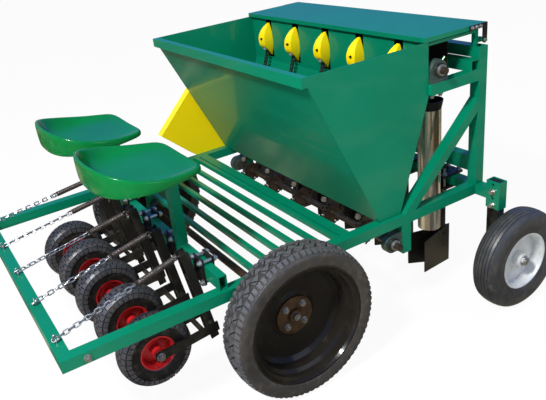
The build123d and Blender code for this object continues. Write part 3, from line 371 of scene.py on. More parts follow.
green_paint = painted("green enamel", rgb(0, 122, 90), rgb(0, 114, 84), 0.3, 0.06, 0.3, 0.2)
yellow_paint = painted("yellow enamel", rgb(255, 226, 0), rgb(252, 219, 0), 0.32, 0.1)
black_paint = painted("black enamel", rgb(24, 22, 21), rgb(34, 32, 29), 0.4, 0.8, 0.1, 0.2)
red_paint = painted("red enamel", rgb(190, 30, 34), rgb(165, 22, 28), 0.35, 0.4)
rim_black = painted("black rim enamel", rgb(30, 27, 24), rgb(37, 34, 30), 0.2, 0.25, 0.15, 0.15)
print("paints ready")


# %% Bare and plated metals
def metal(name, colour, shade, rough, grain=60.0, depth=0.0001, share=0.9):
    finish = Finish(name)
    cloud = finish.noise(grain, 4.0, 0.6)
    broad = finish.noise(grain / 8, 3.0, 0.5)
    tone = finish.blend(cloud.step(0.3, 0.7), colour, shade)
    finish.set(Base_Color=tone, Metallic=share, Roughness=(rough + cloud * 0.16 + broad * 0.1))
    finish.bump(cloud, depth, 0.4)
    return finish.material


# The streaks of the tubes are painted reflections: a light and a dark tone stretched along each tube.
PAINTED_REFLECTION_STREAKS = (46.0, 46.0, 1.3)  # how fast the streaks of a tube change across it and along it


def rolled_tube(name, bright, dull):
    """Sheet rolled into an upright tube, whose colour carries painted long streaks of reflected light and shade.
    """
    finish = Finish(name)
    along = finish.node("ShaderNodeMapping", Vector=finish.place, Scale=PAINTED_REFLECTION_STREAKS)
    # The light and dark tones here are painted highlight and painted shade, not marks in the metal.
    painted_reflection_streak = finish.noise(1.0, 2.0, 0.5, along.outputs[0]).step(0.4, 0.6)
    tone = finish.blend(painted_reflection_streak, bright, dull)
    finish.set(Base_Color=tone, Metallic=0.75, Roughness=(0.14 + finish.noise(22.0) * 0.12))
    return finish.material


zinc = metal("zinc plate", rgb(205, 203, 196), rgb(170, 168, 160), 0.26)
# The two tones of the tubes are painted light and shade that stand in for streaky reflections.
stainless = rolled_tube("rolled stainless", rgb(255, 248, 232), rgb(136, 114, 84))
galvanised = metal("galvanised sheet", rgb(226, 228, 226), rgb(204, 207, 206), 0.42, 34.0, share=0.45)
spring_steel = metal("oiled spring steel", rgb(128, 116, 106), rgb(92, 82, 76), 0.4, 80.0)
cast_grey = metal("cast grey iron", rgb(118, 138, 126), rgb(88, 104, 96), 0.46, 120.0, 0.0003)
chain_steel = metal("oiled chain steel", rgb(110, 104, 96), rgb(62, 58, 54), 0.38, 90.0)
hub_brown = metal("browned hub steel", rgb(104, 78, 52), rgb(74, 54, 36), 0.34, 40.0, share=0.6)
shaft_brown = metal("browned shaft steel", rgb(116, 102, 90), rgb(84, 70, 60), 0.26, 40.0)
print("metals ready")


# %% Rubber and moulded plastic
def rubber(name, colour, shade):
    finish = Finish(name)
    cloud = finish.noise(7.0, 5.0, 0.6)
    dust = finish.noise(40.0, 4.0, 0.7).step(0.5, 0.9)
    tone = finish.blend(cloud.step(0.35, 0.7), colour, shade)
    tone = finish.blend(dust * 0.4, tone, rgb(128, 114, 92))
    finish.set(Base_Color=tone, Roughness=(0.4 + dust * 0.25), Specular_IOR_Level=0.6)
    finish.bump(finish.noise(420.0, 2.0, 0.5), 0.0002, 0.4)
    return finish.material


def moulded(name, colour, shade):
    finish = Finish(name)
    cloud = finish.noise(5.0, 3.0, 0.5)
    tone = finish.blend(cloud.step(0.3, 0.7), colour, shade)
    scuff = finish.noise(60.0, 5.0, 0.7).step(0.6, 0.9)
    finish.set(Base_Color=tone, Roughness=(0.2 + scuff * 0.1), Coat_Weight=0.18, Coat_Roughness=0.08)
    finish.set(Specular_IOR_Level=0.25)
    finish.bump(finish.noise(40.0, 2.0, 0.5), 0.00015, 0.3)
    return finish.material


tyre_rubber = rubber("tyre rubber", rgb(70, 71, 75), rgb(90, 90, 92))
press_rubber = rubber("press tread rubber", rgb(50, 50, 55), rgb(70, 70, 75))
# The press tyres' carcass is dark rubber made darker still, so the grooves between the blocks carry painted
# shade.
dark_rubber_and_painted_groove_shade = rubber("dark rubber with painted groove shade", rgb(18, 17, 17), rgb(28, 26, 25))
side_rubber = rubber("sidewall rubber", rgb(50, 48, 46), rgb(64, 61, 58))
gauge_rubber = rubber("gauge tyre rubber", rgb(46, 47, 49), rgb(64, 65, 66))
seat_plastic = moulded("green seat plastic", rgb(5, 114, 54), rgb(3, 104, 47))
print("rubber and plastic ready")

# %% [markdown]
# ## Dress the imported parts
# Each part already has its real shape, so it only needs its finish. The record says which material slot a
# part belongs to, and one short table turns slots into finishes. A few parts have a finish of their own.

# %% Finishes for every part
SLOT_FINISHES = {
    "green_paint": green_paint,
    "seat_green": seat_plastic,
    "yellow_paint": yellow_paint,
    "tyre": tyre_rubber,
    "black_paint": black_paint,
    "red_paint": red_paint,
    "galvanised": galvanised,
    "stainless": stainless,
    "zinc": zinc,
    "spring_steel": spring_steel,
    "cast_grey": cast_grey,
    "chain_steel": chain_steel,
}


def dress_nodes():
    slots = {part["node"]: part["material_slot"] for part in frame["record"]["subparts"]}
    for name, part in nodes.items():
        finish = SLOT_FINISHES[slots[name]]
        part.data.materials.clear()
        part.data.materials.append(finish)
    nodes["drive_rims"].data.materials[0] = rim_black
    nodes["drive_hubs"].data.materials[0] = hub_brown
    nodes["elevator_shafts"].data.materials[0] = shaft_brown
    nodes["drive_axle"].data.materials[0] = hub_brown
    return slots


node_slots = dress_nodes()
print("dressed", len(node_slots), "parts")

# %% [markdown]
# ## Tools for pieces that repeat
# Bolts, tread blocks, chain links and spring coils repeat along a line or round a wheel, so Geometry Nodes
# make them. Each tree is built here once, with named inputs for its sizes, and its result becomes a plain
# mesh that no longer needs the tree.


# %% Places, given as on the drawing
def spot(x, y, z):
    """A place in millimetres forward of the rear end, left of the middle and above the ground."""
    return Vector((REAR_X + x * MM, y * MM, z * MM))


# %% A small builder for Geometry Nodes trees
class Tree:
    """A tree under construction, with named inputs and one method that adds any node."""

    KINDS = {int: "NodeSocketInt", float: "NodeSocketFloat", tuple: "NodeSocketVector"}

    def __init__(self, name, **sizes):
        self.group = bpy.data.node_groups.new(name, "GeometryNodeTree")
        face = self.group.interface
        face.new_socket("Geometry", in_out="INPUT", socket_type="NodeSocketGeometry")
        for label, value in sizes.items():
            kind = self.KINDS[type(value)]
            entry = face.new_socket(label.replace("_", " "), in_out="INPUT", socket_type=kind)
            entry.default_value = value
        face.new_socket("Finish", in_out="INPUT", socket_type="NodeSocketMaterial")
        face.new_socket("Geometry", in_out="OUTPUT", socket_type="NodeSocketGeometry")
        self.entry = self.group.nodes.new("NodeGroupInput")
        self.end = self.group.nodes.new("NodeGroupOutput")

    def size(self, label):
        return self.entry.outputs[label]

    def node(self, kind, settings=None, **inputs):
        made = self.group.nodes.new(kind)
        for key, value in (settings or {}).items():
            setattr(made, key, value)
        for key, value in inputs.items():
            self.plug(made.inputs[key.replace("_", " ")], value)
        return made

    def plug(self, entry, value):
        if isinstance(value, bpy.types.NodeSocket):
            self.group.links.new(value, entry)
        else:
            entry.default_value = value

    def maths(self, operation, first, second=0.0):
        made = self.group.nodes.new("ShaderNodeMath")
        made.operation = operation
        self.plug(made.inputs[0], first)
        self.plug(made.inputs[1], second)
        return made.outputs[0]

    def vector(self, x=0.0, y=0.0, z=0.0):
        return self.node("ShaderNodeCombineXYZ", X=x, Y=y, Z=z).outputs[0]

    def lifted(self, geometry, z):
        return self.node("GeometryNodeTransform", Geometry=geometry, Translation=self.vector(z=z)).outputs[0]

    def joined(self, *parts):
        made = self.group.nodes.new("GeometryNodeJoinGeometry")
        for part in reversed(parts):
            self.group.links.new(part, made.inputs[0])
        return made.outputs[0]

    def close(self, instances):
        """Makes the copies real, gives them their material and ends the tree."""
        real = self.node("GeometryNodeRealizeInstances", Geometry=instances)
        finish = self.entry.outputs["Finish"]
        done = self.node("GeometryNodeSetMaterial", Geometry=real.outputs[0], Material=finish)
        self.group.links.new(done.outputs[0], self.end.inputs[0])


def grow(tree, source, finish, **sizes):
    """Runs a tree on a mesh or curve and returns the result as a plain mesh."""
    carrier = bpy.data.objects.new("carrier", source)
    bpy.context.scene.collection.objects.link(carrier)
    modifier = carrier.modifiers.new("tree", "NODES")
    modifier.node_group = tree.group
    given = {label.replace("_", " "): value for label, value in sizes.items()}
    given["Finish"] = finish
    for item in tree.group.interface.items_tree:
        if item.item_type == "SOCKET" and item.in_out == "INPUT" and item.name in given:
            modifier[item.identifier] = given[item.name]
    depsgraph = bpy.context.evaluated_depsgraph_get()
    mesh = bpy.data.meshes.new_from_object(carrier.evaluated_get(depsgraph), depsgraph=depsgraph)
    carrier.modifiers.clear()
    bpy.data.objects.remove(carrier)
    return mesh


print("tree builder ready")


# %% Meshes made point by point
def mesh_from(verts, faces=(), name="piece"):
    mesh = bpy.data.meshes.new(name)
    mesh.from_pydata([tuple(v) for v in verts], [], faces)
    mesh.update()
    return mesh


def outward(mesh):
    """Turns every face of a closed mesh outwards."""
    shape = bmesh.new()
    shape.from_mesh(mesh)
    bmesh.ops.recalc_face_normals(shape, faces=shape.faces)
    shape.to_mesh(mesh)
    shape.free()
    return mesh


def settle(name, meshes, body, slot, replaces=(), crease=30.0, finish=None):
    """Joins meshes to one piece, smooths its round faces and lets it ride on its body."""
    joint = bmesh.new()
    for mesh in meshes:
        joint.from_mesh(mesh)
    whole = bpy.data.meshes.new(name)
    joint.to_mesh(whole)
    joint.free()
    whole.materials.append(finish or SLOT_FINISHES[slot])
    for face in whole.polygons:
        face.material_index = 0
    whole.shade_smooth()
    whole.set_sharp_from_angle(angle=math.radians(crease))
    piece = bpy.data.objects.new(name, whole)
    bpy.context.scene.collection.objects.link(piece)
    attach(piece, body)
    if replaces:
        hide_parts(*replaces)
    faces = sum(len(face.vertices) - 2 for face in whole.polygons)
    print(name, faces, "triangles")
    return piece


def turned_mesh(profile, centre, steps):
    """A ring about Y: the profile holds radius and offset pairs in mm, anticlockwise as radius against Y."""
    verts, faces = [], []
    count = len(profile)
    for step in range(steps):
        angle = 2 * math.pi * step / steps
        for radius, across in profile:
            verts.append(centre + Vector((math.sin(angle) * radius, across, math.cos(angle) * radius)) * MM)
    for step in range(steps):
        here, there = step * count, (step + 1) % steps * count
        for index in range(count):
            after = (index + 1) % count
            faces.append((here + index, here + after, there + after, there + index))
    return outward(mesh_from(verts, faces))


# %% Tree: copies round a wheel
# The source is one pitch of the pattern, drawn round the origin. Every copy is turned about Y.
round_tree = Tree("copies round a wheel", Count=12, Centre=(0.0, 0.0, 0.0))
hub_points = round_tree.node(
    "GeometryNodeMeshLine", {"mode": "OFFSET"}, Count=round_tree.size("Count"),
    Start_Location=round_tree.size("Centre"), Offset=(0.0, 0.0, 0.0),
)
round_index = round_tree.node("GeometryNodeInputIndex").outputs[0]
round_angle = round_tree.maths(
    "MULTIPLY", round_tree.maths("DIVIDE", round_index, round_tree.size("Count")), 2 * math.pi
)
round_copies = round_tree.node(
    "GeometryNodeInstanceOnPoints", Points=hub_points.outputs[0], Instance=round_tree.size("Geometry"),
    Rotation=round_tree.vector(0.0, round_angle, 0.0),
)
round_tree.close(round_copies.outputs[0])

# %% Tree: bolts on marked points
# A bolt is a six-sided head on a washer with the end of its thread standing out of it. Each point carries
# the way that its bolt looks, and the heads are turned a little apart, as a fitter leaves them.
WASHER = 0.0016  # how thick a washer is
bolt_tree = Tree("bolts", Head=0.006, Height=0.005, Washer=0.009, Thread=0.003, Reach=0.004, Seed=3)
bolt_head = bolt_tree.node(
    "GeometryNodeMeshCylinder", {"fill_type": "NGON"}, Vertices=6, Radius=bolt_tree.size("Head"),
    Depth=bolt_tree.size("Height"),
)
bolt_washer = bolt_tree.node(
    "GeometryNodeMeshCylinder", {"fill_type": "NGON"}, Vertices=16, Radius=bolt_tree.size("Washer"),
    Depth=WASHER,
)
bolt_thread = bolt_tree.node(
    "GeometryNodeMeshCylinder", {"fill_type": "NGON"}, Vertices=10, Radius=bolt_tree.size("Thread"),
    Depth=bolt_tree.size("Reach"),
)
half_head = bolt_tree.maths("MULTIPLY", bolt_tree.size("Height"), 0.5)
head_top = bolt_tree.maths("ADD", bolt_tree.size("Height"), WASHER)
thread_middle = bolt_tree.maths("ADD", head_top, bolt_tree.maths("MULTIPLY", bolt_tree.size("Reach"), 0.49))
one_bolt = bolt_tree.joined(
    bolt_tree.lifted(bolt_washer.outputs[0], z=WASHER / 2),
    bolt_tree.lifted(bolt_head.outputs[0], z=bolt_tree.maths("ADD", half_head, WASHER)),
    bolt_tree.lifted(bolt_thread.outputs[0], z=thread_middle),
)
bolt_way = bolt_tree.node("GeometryNodeInputNamedAttribute", {"data_type": "FLOAT_VECTOR"}, Name="way")
bolt_turn = bolt_tree.node("FunctionNodeAlignRotationToVector", {"axis": "Z"}, Vector=bolt_way.outputs[0])
bolts_placed = bolt_tree.node(
    "GeometryNodeInstanceOnPoints", Points=bolt_tree.size("Geometry"), Instance=one_bolt,
    Rotation=bolt_turn.outputs[0],
)
bolt_chance = bolt_tree.node("FunctionNodeRandomValue", {"data_type": "FLOAT"})
bolt_tree.plug(bolt_chance.inputs["Seed"], bolt_tree.size("Seed"))
bolts_turned = bolt_tree.node(
    "GeometryNodeRotateInstances", Instances=bolts_placed.outputs[0],
    Rotation=bolt_tree.vector(z=bolt_tree.maths("MULTIPLY", bolt_chance.outputs[1], 1.05)),
)
bolt_tree.close(bolts_turned.outputs[0])


def marked_points(places):
    """A mesh of loose points, each with the way that its copy looks."""
    mesh = mesh_from([place for place, way in places])
    ways = mesh.attributes.new("way", "FLOAT_VECTOR", "POINT")
    for index, (place, way) in enumerate(places):
        ways.data[index].vector = Vector(way).normalized()
    return mesh


def bolts(places, head=6.0, height=5.0, washer=8.5, thread=3.0, reach=3.0, seed=3):
    """Bolts with sizes in mm, at pairs of a place and a way."""
    return grow(
        bolt_tree, marked_points(places), zinc, Head=head * MM, Height=height * MM, Washer=washer * MM,
        Thread=thread * MM, Reach=reach * MM, Seed=seed,
    )


print("bolt tree has", len(bolt_tree.group.nodes), "nodes")

# %% Tree: links of a welded chain
# The link is a bent round wire: a rounded rectangle swept with a circle. Every second link lies across.
link_tree = Tree("chain links", Pitch=0.02, Width=0.012, Wire=0.002)
link_bite = link_tree.maths("MULTIPLY", link_tree.size("Wire"), 1.8)
link_length = link_tree.maths("ADD", link_tree.size("Pitch"), link_bite)
link_frame = link_tree.node(
    "GeometryNodeCurvePrimitiveQuadrilateral", {"mode": "RECTANGLE"}, Width=link_length,
    Height=link_tree.size("Width"),
)
link_round = link_tree.node(
    "GeometryNodeFilletCurve", {"mode": "POLY"}, Curve=link_frame.outputs[0], Count=4,
    Radius=link_tree.maths("MULTIPLY", link_tree.size("Width"), 0.48),
)
link_wire = link_tree.node(
    "GeometryNodeCurvePrimitiveCircle", {"mode": "RADIUS"}, Resolution=6, Radius=link_tree.size("Wire"),
)
one_link = link_tree.node(
    "GeometryNodeCurveToMesh", Curve=link_round.outputs[0], Profile_Curve=link_wire.outputs[0],
)
link_path = link_tree.node(
    "GeometryNodeResampleCurve", {"mode": "LENGTH"}, Curve=link_tree.size("Geometry"),
    Length=link_tree.size("Pitch"),
)
link_way = link_tree.node("GeometryNodeInputTangent")
link_turn = link_tree.node("FunctionNodeAlignRotationToVector", {"axis": "X"}, Vector=link_way.outputs[0])
links_placed = link_tree.node(
    "GeometryNodeInstanceOnPoints", Points=link_path.outputs[0], Instance=one_link.outputs[0],
    Rotation=link_turn.outputs[0],
)
link_odd = link_tree.maths("MODULO", link_tree.node("GeometryNodeInputIndex").outputs[0], 2.0)
links_turned = link_tree.node(
    "GeometryNodeRotateInstances", Instances=links_placed.outputs[0],
    Rotation=link_tree.vector(x=link_tree.maths("MULTIPLY", link_odd, math.pi / 2)),
)
link_tree.close(links_turned.outputs[0])


def path_curve(lines, closed=False):
    """A curve that holds one straight-run spline for each list of points."""
    curve = bpy.data.curves.new("path", "CURVE")
    curve.dimensions = "3D"
    for points in lines:
        spline = curve.splines.new("POLY")
        spline.points.add(len(points) - 1)
        for entry, point in zip(spline.points, points):
            entry.co = (*point, 1.0)
        spline.use_cyclic_u = closed
    return curve


# %% Tree: coil springs on marked points
# A spiral of wire, wound close, that starts at its point and runs the way that the point looks.
coil_tree = Tree("coil springs", Turns=30.0, Radius=0.01, Wire=0.0015, Length=0.15)
coil_line = coil_tree.node(
    "GeometryNodeCurveSpiral", Resolution=14, Rotations=coil_tree.size("Turns"),
    Start_Radius=coil_tree.size("Radius"), End_Radius=coil_tree.size("Radius"),
    Height=coil_tree.size("Length"),
)
coil_wire = coil_tree.node(
    "GeometryNodeCurvePrimitiveCircle", {"mode": "RADIUS"}, Resolution=6, Radius=coil_tree.size("Wire"),
)
one_coil = coil_tree.node(
    "GeometryNodeCurveToMesh", Curve=coil_line.outputs[0], Profile_Curve=coil_wire.outputs[0], Fill_Caps=True,
)
coil_way = coil_tree.node("GeometryNodeInputNamedAttribute", {"data_type": "FLOAT_VECTOR"}, Name="way")
coil_turn = coil_tree.node("FunctionNodeAlignRotationToVector", {"axis": "Z"}, Vector=coil_way.outputs[0])
coils_placed = coil_tree.node(
    "GeometryNodeInstanceOnPoints", Points=coil_tree.size("Geometry"), Instance=one_coil.outputs[0],
    Rotation=coil_turn.outputs[0],
)
coil_tree.close(coils_placed.outputs[0])
print("trees ready")

# %% Tree: a piece copied along a path
# The path is the source, and the piece is turned so that its X axis follows the path.
follow_tree = Tree("copies along a path", Pitch=0.025)
follow_tree.group.interface.new_socket("Piece", in_out="INPUT", socket_type="NodeSocketObject")
piece_info = follow_tree.node(
    "GeometryNodeObjectInfo", {"transform_space": "ORIGINAL"}, Object=follow_tree.entry.outputs["Piece"],
)
follow_path = follow_tree.node(
    "GeometryNodeResampleCurve", {"mode": "LENGTH"}, Curve=follow_tree.size("Geometry"),
    Length=follow_tree.size("Pitch"),
)
follow_way = follow_tree.node("GeometryNodeInputTangent")
follow_turn = follow_tree.node(
    "FunctionNodeAlignRotationToVector", {"axis": "X", "pivot_axis": "Y"}, Vector=follow_way.outputs[0],
)
follow_copies = follow_tree.node(
    "GeometryNodeInstanceOnPoints", Points=follow_path.outputs[0], Instance=piece_info.outputs["Geometry"],
    Rotation=follow_turn.outputs[0],
)
follow_tree.close(follow_copies.outputs[0])


def follow(lines, mesh, pitch, finish, closed):
    """Copies of a mesh along each path, a pitch apart, as one plain mesh."""
    template = bpy.data.objects.new("template", mesh)
    bpy.context.scene.collection.objects.link(template)
    made = grow(follow_tree, path_curve(lines, closed), finish, Pitch=pitch, Piece=template)
    bpy.data.objects.remove(template)
    return made


print("path tree ready")

# %% [markdown]
# ## Drive tyres
# The big wheels are narrow steel discs with a road tyre. Its tread is a band of slanted wedges that meet in
# a zigzag, with square blocks on the shoulders. The plain carcass is turned from a profile, and the blocks
# of one pitch are copied round the wheel.

# %% One pitch of a tread
def tread_block(outline, low, radius, crown, half, step_angle):
    """A block of rubber: an outline of across and along shares, from its foot radius to the crowned top."""
    verts, count = [], len(outline)
    middle_across = sum(point[0] for point in outline) / count
    middle_along = sum(point[1] for point in outline) / count
    for level, shrink in ((low, 1.0), (radius, 0.93)):
        for across, along in outline:
            across = middle_across + (across - middle_across) * shrink
            along = middle_along + (along - middle_along) * shrink
            height = level - crown * (across / half) ** 2
            angle = along * step_angle
            verts.append((math.sin(angle) * height * MM, across * MM, math.cos(angle) * height * MM))
    faces = [tuple(range(count, 2 * count))[::-1], tuple(range(count))]
    for index in range(count):
        after = (index + 1) % count
        faces.append((index, index + count, after + count, after))
    return verts, faces


def tread_pitch(outlines, low, radius, crown, half, count):
    """All blocks of one pitch as one mesh, drawn round the origin."""
    step_angle = 2 * math.pi / count
    verts, faces = [], []
    for outline in outlines:
        new_verts, new_faces = tread_block(outline, low, radius, crown, half, step_angle)
        faces += [tuple(index + len(verts) for index in face) for face in new_faces]
        verts += new_verts
    return outward(mesh_from(verts, faces))


# %% The drive tyres
DRIVE_X, DRIVE_Y, DRIVE_Z = 760, 648, 273
DRIVE_CENTRES = [spot(DRIVE_X, side * DRIVE_Y, DRIVE_Z) for side in (-1, 1)]
DRIVE_PITCHES = 38


def both_flanks(half):
    """A whole tyre profile from its left half, given from the crown to the bead."""
    return [(radius, -across) for radius, across in reversed(half)] + half


drive_profile = both_flanks([
    (266, 12), (264.5, 30), (262, 45), (259, 53.5), (254, 57), (246, 57.8), (233, 57.2), (226, 55.5), (219, 56),
    (213.5, 53),
])
# Across is in mm from the wheel's middle plane; along is a share of one pitch.
drive_blocks = []
for sign in (-1, 1):
    shift = 0.25 * (sign + 1)
    for block in (
        [(1.0, 0.04), (23.0, 0.46), (1.0, 0.9)],
        [(25.0, 0.06), (25.0, 0.36), (5.5, -0.02)],
        [(27.5, 0.04), (27.5, 0.5), (51.5, 0.36), (51.5, 0.08)],
        [(27.5, 0.56), (27.5, 0.96), (51.5, 0.82), (51.5, 0.54)],
    ):
        drive_blocks.append([(sign * across, along + shift) for across, along in block])
drive_pitch = tread_pitch(drive_blocks, 259.5, 272.8, 7.6, 50.0, DRIVE_PITCHES)


def round_wheel(pitch_mesh, count, centre):
    """One pitch of a tread, copied round a wheel's centre."""
    return grow(round_tree, pitch_mesh.copy(), tyre_rubber, Count=count, Centre=tuple(centre))


drive_meshes = [round_wheel(drive_pitch, DRIVE_PITCHES, centre) for centre in DRIVE_CENTRES]
carcasses = [turned_mesh(drive_profile, centre, 96) for centre in DRIVE_CENTRES]
settle("drive_carcasses", carcasses, "drive_wheels", "tyre", ("drive_tyres",), 35.0, side_rubber)
settle("drive_tyre_treads", drive_meshes, "drive_wheels", "tyre", crease=35.0)

# %% [markdown]
# ## Press and gauge tyres
# The press wheels carry small barrow tyres with two rows of blocks on each side of the middle, and lugs
# down their shoulders. The gauge wheels have ribbed tyres, whose grooves run round the tread, so those need
# no blocks: the grooves are in the turned profile.

# %% The five press tyres
PRESS_X, PRESS_Z = 315, 251
PRESS_PITCHES = 34
press_profile = both_flanks([
    (123.4, 12), (121.5, 24), (118, 32.5), (112, 38), (104, 41), (92, 41.8), (80, 40.5), (72, 37.5), (66, 37),
    (61.5, 34),
])
press_profile.insert(10, (124, 0))
press_blocks = []
for sign in (-1, 1):
    press_blocks.append([(sign * 1.2, 0.04), (sign * 10.5, 0.12), (sign * 10.5, 0.92), (sign * 1.2, 0.84)])
    press_blocks.append([(sign * 12.8, 0.62), (sign * 22.0, 0.58), (sign * 22.0, 1.38), (sign * 12.8, 1.42)])
press_pitch = tread_pitch(press_blocks, 119.0, 129.7, 9.0, 31.0, PRESS_PITCHES)


def shoulder_lugs(line, begin, end, height, count):
    """A lug on each shoulder of a tyre, along a line of radius and offset pairs, for one pitch."""
    step_angle = 2 * math.pi / count
    length = len(line)
    verts, faces = [], []
    for sign in (-1, 1):
        start = len(verts)
        for index, (radius, across) in enumerate(line):
            (r1, y1), (r2, y2) = line[max(index - 1, 0)], line[min(index + 1, length - 1)]
            run = math.hypot(r2 - r1, y2 - y1)
            out_r, out_y = (y2 - y1) / run, (r1 - r2) / run
            for along in (begin, end):
                for lift in (-2.0, height * (1.0 - 0.1 * index)):
                    angle = along * step_angle
                    r, y = radius + out_r * lift, sign * (across + out_y * lift)
                    verts.append((math.sin(angle) * r * MM, y * MM, math.cos(angle) * r * MM))
        for index in range(length - 1):
            a, b = start + 4 * index, start + 4 * index + 4
            faces += [(a + 1, b + 1, b + 3, a + 3), (a, b, b + 1, a + 1)]
            faces += [(a + 2, a + 3, b + 3, b + 2), (a, a + 2, b + 2, b)]
        last = start + 4 * (length - 1)
        faces += [(start, start + 1, start + 3, start + 2), (last, last + 2, last + 3, last + 1)]
    return outward(mesh_from(verts, faces))


PRESS_SHOULDERS = (
    [(121.6, 24.2), (118.4, 31.5), (113.6, 36.6)],
    [(111.4, 38.2), (104.0, 41.0), (97.0, 41.8)],
)
press_lugs = [shoulder_lugs(line, 0.08, 0.9, 4.2, PRESS_PITCHES) for line in PRESS_SHOULDERS]
PRESS_YS = [220.0 * (number - 2) for number in range(5)]
for number, y in enumerate(PRESS_YS):
    centre = spot(PRESS_X, y, PRESS_Z)
    parts = [round_wheel(mesh, PRESS_PITCHES, centre) for mesh in (press_pitch, *press_lugs)]
    tag = str(number + 1)
    body = "press_wheel_" + tag
    carcass = [turned_mesh(press_profile, centre, 64)]
    # The carcass shows in the grooves: its colour is partly the tyre's own dark rubber and partly painted groove
    # shade.
    settle("press_carcass_" + tag, carcass, body, "tyre", ("press_tyre_" + tag,), 28.0, dark_rubber_and_painted_groove_shade)
    settle("press_tread_" + tag, parts, body, "tyre", crease=28.0, finish=press_rubber)

# %% The two gauge tyres
GAUGE_X, GAUGE_Y, GAUGE_Z = 1672, 768, 197
GROOVE = 4.0
gauge_flank = [
    (181, 43), (172, 47.5), (160, 49.6), (146, 49.6), (132, 47.5), (124, 45), (117, 44.5), (111.5, 41),
]
rib_edges = both_flanks([(196.8, 7), (195.4, 19.5), (192.2, 31), (187, 38.5)])
gauge_profile = [(radius, -across) for radius, across in reversed(gauge_flank)]
for index in range(len(rib_edges) - 1):
    (r1, y1), (r2, y2) = rib_edges[index], rib_edges[index + 1]
    gauge_profile.append((r1, y1 + 1.4 if index else y1))
    gauge_profile.append((r2, y2 - 1.4))
    if index < len(rib_edges) - 2:
        gauge_profile.append((r2 - GROOVE, y2 - 0.9))
        gauge_profile.append((r2 - GROOVE, y2 + 0.9))
gauge_profile += gauge_flank
for name, side in SIDES.items():
    centre = spot(GAUGE_X, side * GAUGE_Y, GAUGE_Z)
    parts = [turned_mesh(gauge_profile, centre, 96)]
    body = "gauge_wheel_" + name
    settle("gauge_tread_" + name, parts, body, "tyre", ("gauge_tyre_" + name,), 28.0, gauge_rubber)

# %% [markdown]
# ## Pull springs and their chains
# Each press wheel arm hangs on a close-wound spring, and a short welded chain ties the spring to the rear
# crossbar. The spring's own wire is wound by the coil tree, and the chain's links follow a straight path.

# %% Springs and chains
EYE_Z = 544
HOOP = 0.0085
COIL_START, COIL_END = 0.016, 0.152


def spring_line(y):
    """Where the spring of a row starts, the chain's anchor, and the way between them."""
    start = spot(452, y, EYE_Z)
    anchor = spot(20, y / 220 * 247 + 16, 457)
    return start, anchor, (anchor - start).normalized()


spring_meshes, chain_lines, hook_places, neck_lines = [], [], [], []
for y in PRESS_YS:
    start, anchor, way = spring_line(y)
    coil_end = start + way * COIL_END
    spring_meshes.append(grow(
        coil_tree, marked_points([(start + way * COIL_START, way)]), spring_steel, Turns=44.0, Radius=0.0092,
        Wire=0.0017, Length=COIL_END - COIL_START,
    ))
    across = way.cross(Vector((0, 0, 1))).normalized()
    lift = across.cross(way).normalized()
    for centre in (start + way * 0.006, coil_end + way * 0.009):
        turns = np.linspace(-2.6, 2.6, 12)
        hook_places.append([centre + (way * math.cos(a) + lift * math.sin(a)) * HOOP for a in turns])
    neck_lines.append([spot(462, y, EYE_Z), start + way * 0.004])
    chain_lines.append([coil_end + way * 0.016, anchor])
    chain_lines.append([anchor + Vector((0, 0, -0.012)), anchor + Vector((0, 0, 0.003))])


def wire_mesh(lines, radius, sides=8):
    """Round wire along each line of points, as one plain mesh."""
    curve = path_curve(lines)
    curve.bevel_depth = radius
    curve.bevel_resolution = max(0, sides // 2 - 2)
    curve.use_fill_caps = True
    carrier = bpy.data.objects.new("wire", curve)
    bpy.context.scene.collection.objects.link(carrier)
    depsgraph = bpy.context.evaluated_depsgraph_get()
    mesh = bpy.data.meshes.new_from_object(carrier.evaluated_get(depsgraph), depsgraph=depsgraph)
    bpy.data.objects.remove(carrier)
    return mesh


spring_meshes.append(wire_mesh(hook_places, 0.0021))
spring_meshes.append(wire_mesh(neck_lines, 0.0036))
settle("pull_springs", spring_meshes, "frame", "spring_steel", replaces=("arm_springs",), crease=50.0)
chain_mesh = grow(link_tree, path_curve(chain_lines), zinc, Pitch=0.0182, Width=0.0125, Wire=0.0023)
settle("anchor_chains", [chain_mesh], "frame", "zinc", replaces=("arm_chains",), crease=50.0)

# %% [markdown]
# ## Elevator chains and cups
# Five roller chains carry small cups up from the hopper floor and over the head shaft. A pair of links is
# modelled once and follows the loop. The cups stand on the chain, so their open ends face the way it runs.

# %% The loop's line and one pair of links
HEAD_SHAFT, TAIL_SHAFT = (1466.0, 940.0), (1240.0, 340.0)
CHAIN_LINE = 43.0
ELEVATOR_YS = [212.0 * (number - 2) for number in range(5)]
span_x, span_z = HEAD_SHAFT[0] - TAIL_SHAFT[0], HEAD_SHAFT[1] - TAIL_SHAFT[1]
loop_span = math.hypot(span_x, span_z)
run_way = (span_x / loop_span, span_z / loop_span)
run_out = (-run_way[1], run_way[0])


def loop_line(y):
    """The chain's middle line: up the rear run, over the head shaft, down and round the tail shaft."""
    points = []
    rise = math.atan2(run_out[1], run_out[0])
    for (x, z), start in ((TAIL_SHAFT, rise + math.pi), (HEAD_SHAFT, rise)):
        for step in range(13):
            angle = start - math.pi * step / 12
            points.append(spot(x + CHAIN_LINE * math.cos(angle), y, z + CHAIN_LINE * math.sin(angle)))
    return points


def link_plate(length, height, y_middle, thickness, start_x):
    """A waisted link plate as a closed prism, lying along X."""
    outline = []
    for step in range(5):
        angle = -math.pi / 2 + math.pi * step / 4
        outline.append((length / 2 + math.cos(angle) * height / 2, math.sin(angle) * height / 2))
    outline.append((0.0, height * 0.36))
    for step in range(5):
        angle = math.pi / 2 + math.pi * step / 4
        outline.append((-length / 2 + math.cos(angle) * height / 2, math.sin(angle) * height / 2))
    outline.append((0.0, -height * 0.36))
    count = len(outline)
    verts = []
    for offset in (-thickness / 2, thickness / 2):
        verts += [((start_x + x) * MM, (y_middle + offset) * MM, z * MM) for x, z in outline]
    faces = [tuple(range(count)), tuple(range(count, 2 * count))[::-1]]
    for index in range(count):
        after = (index + 1) % count
        faces.append((index, index + count, after + count, after))
    return verts, faces


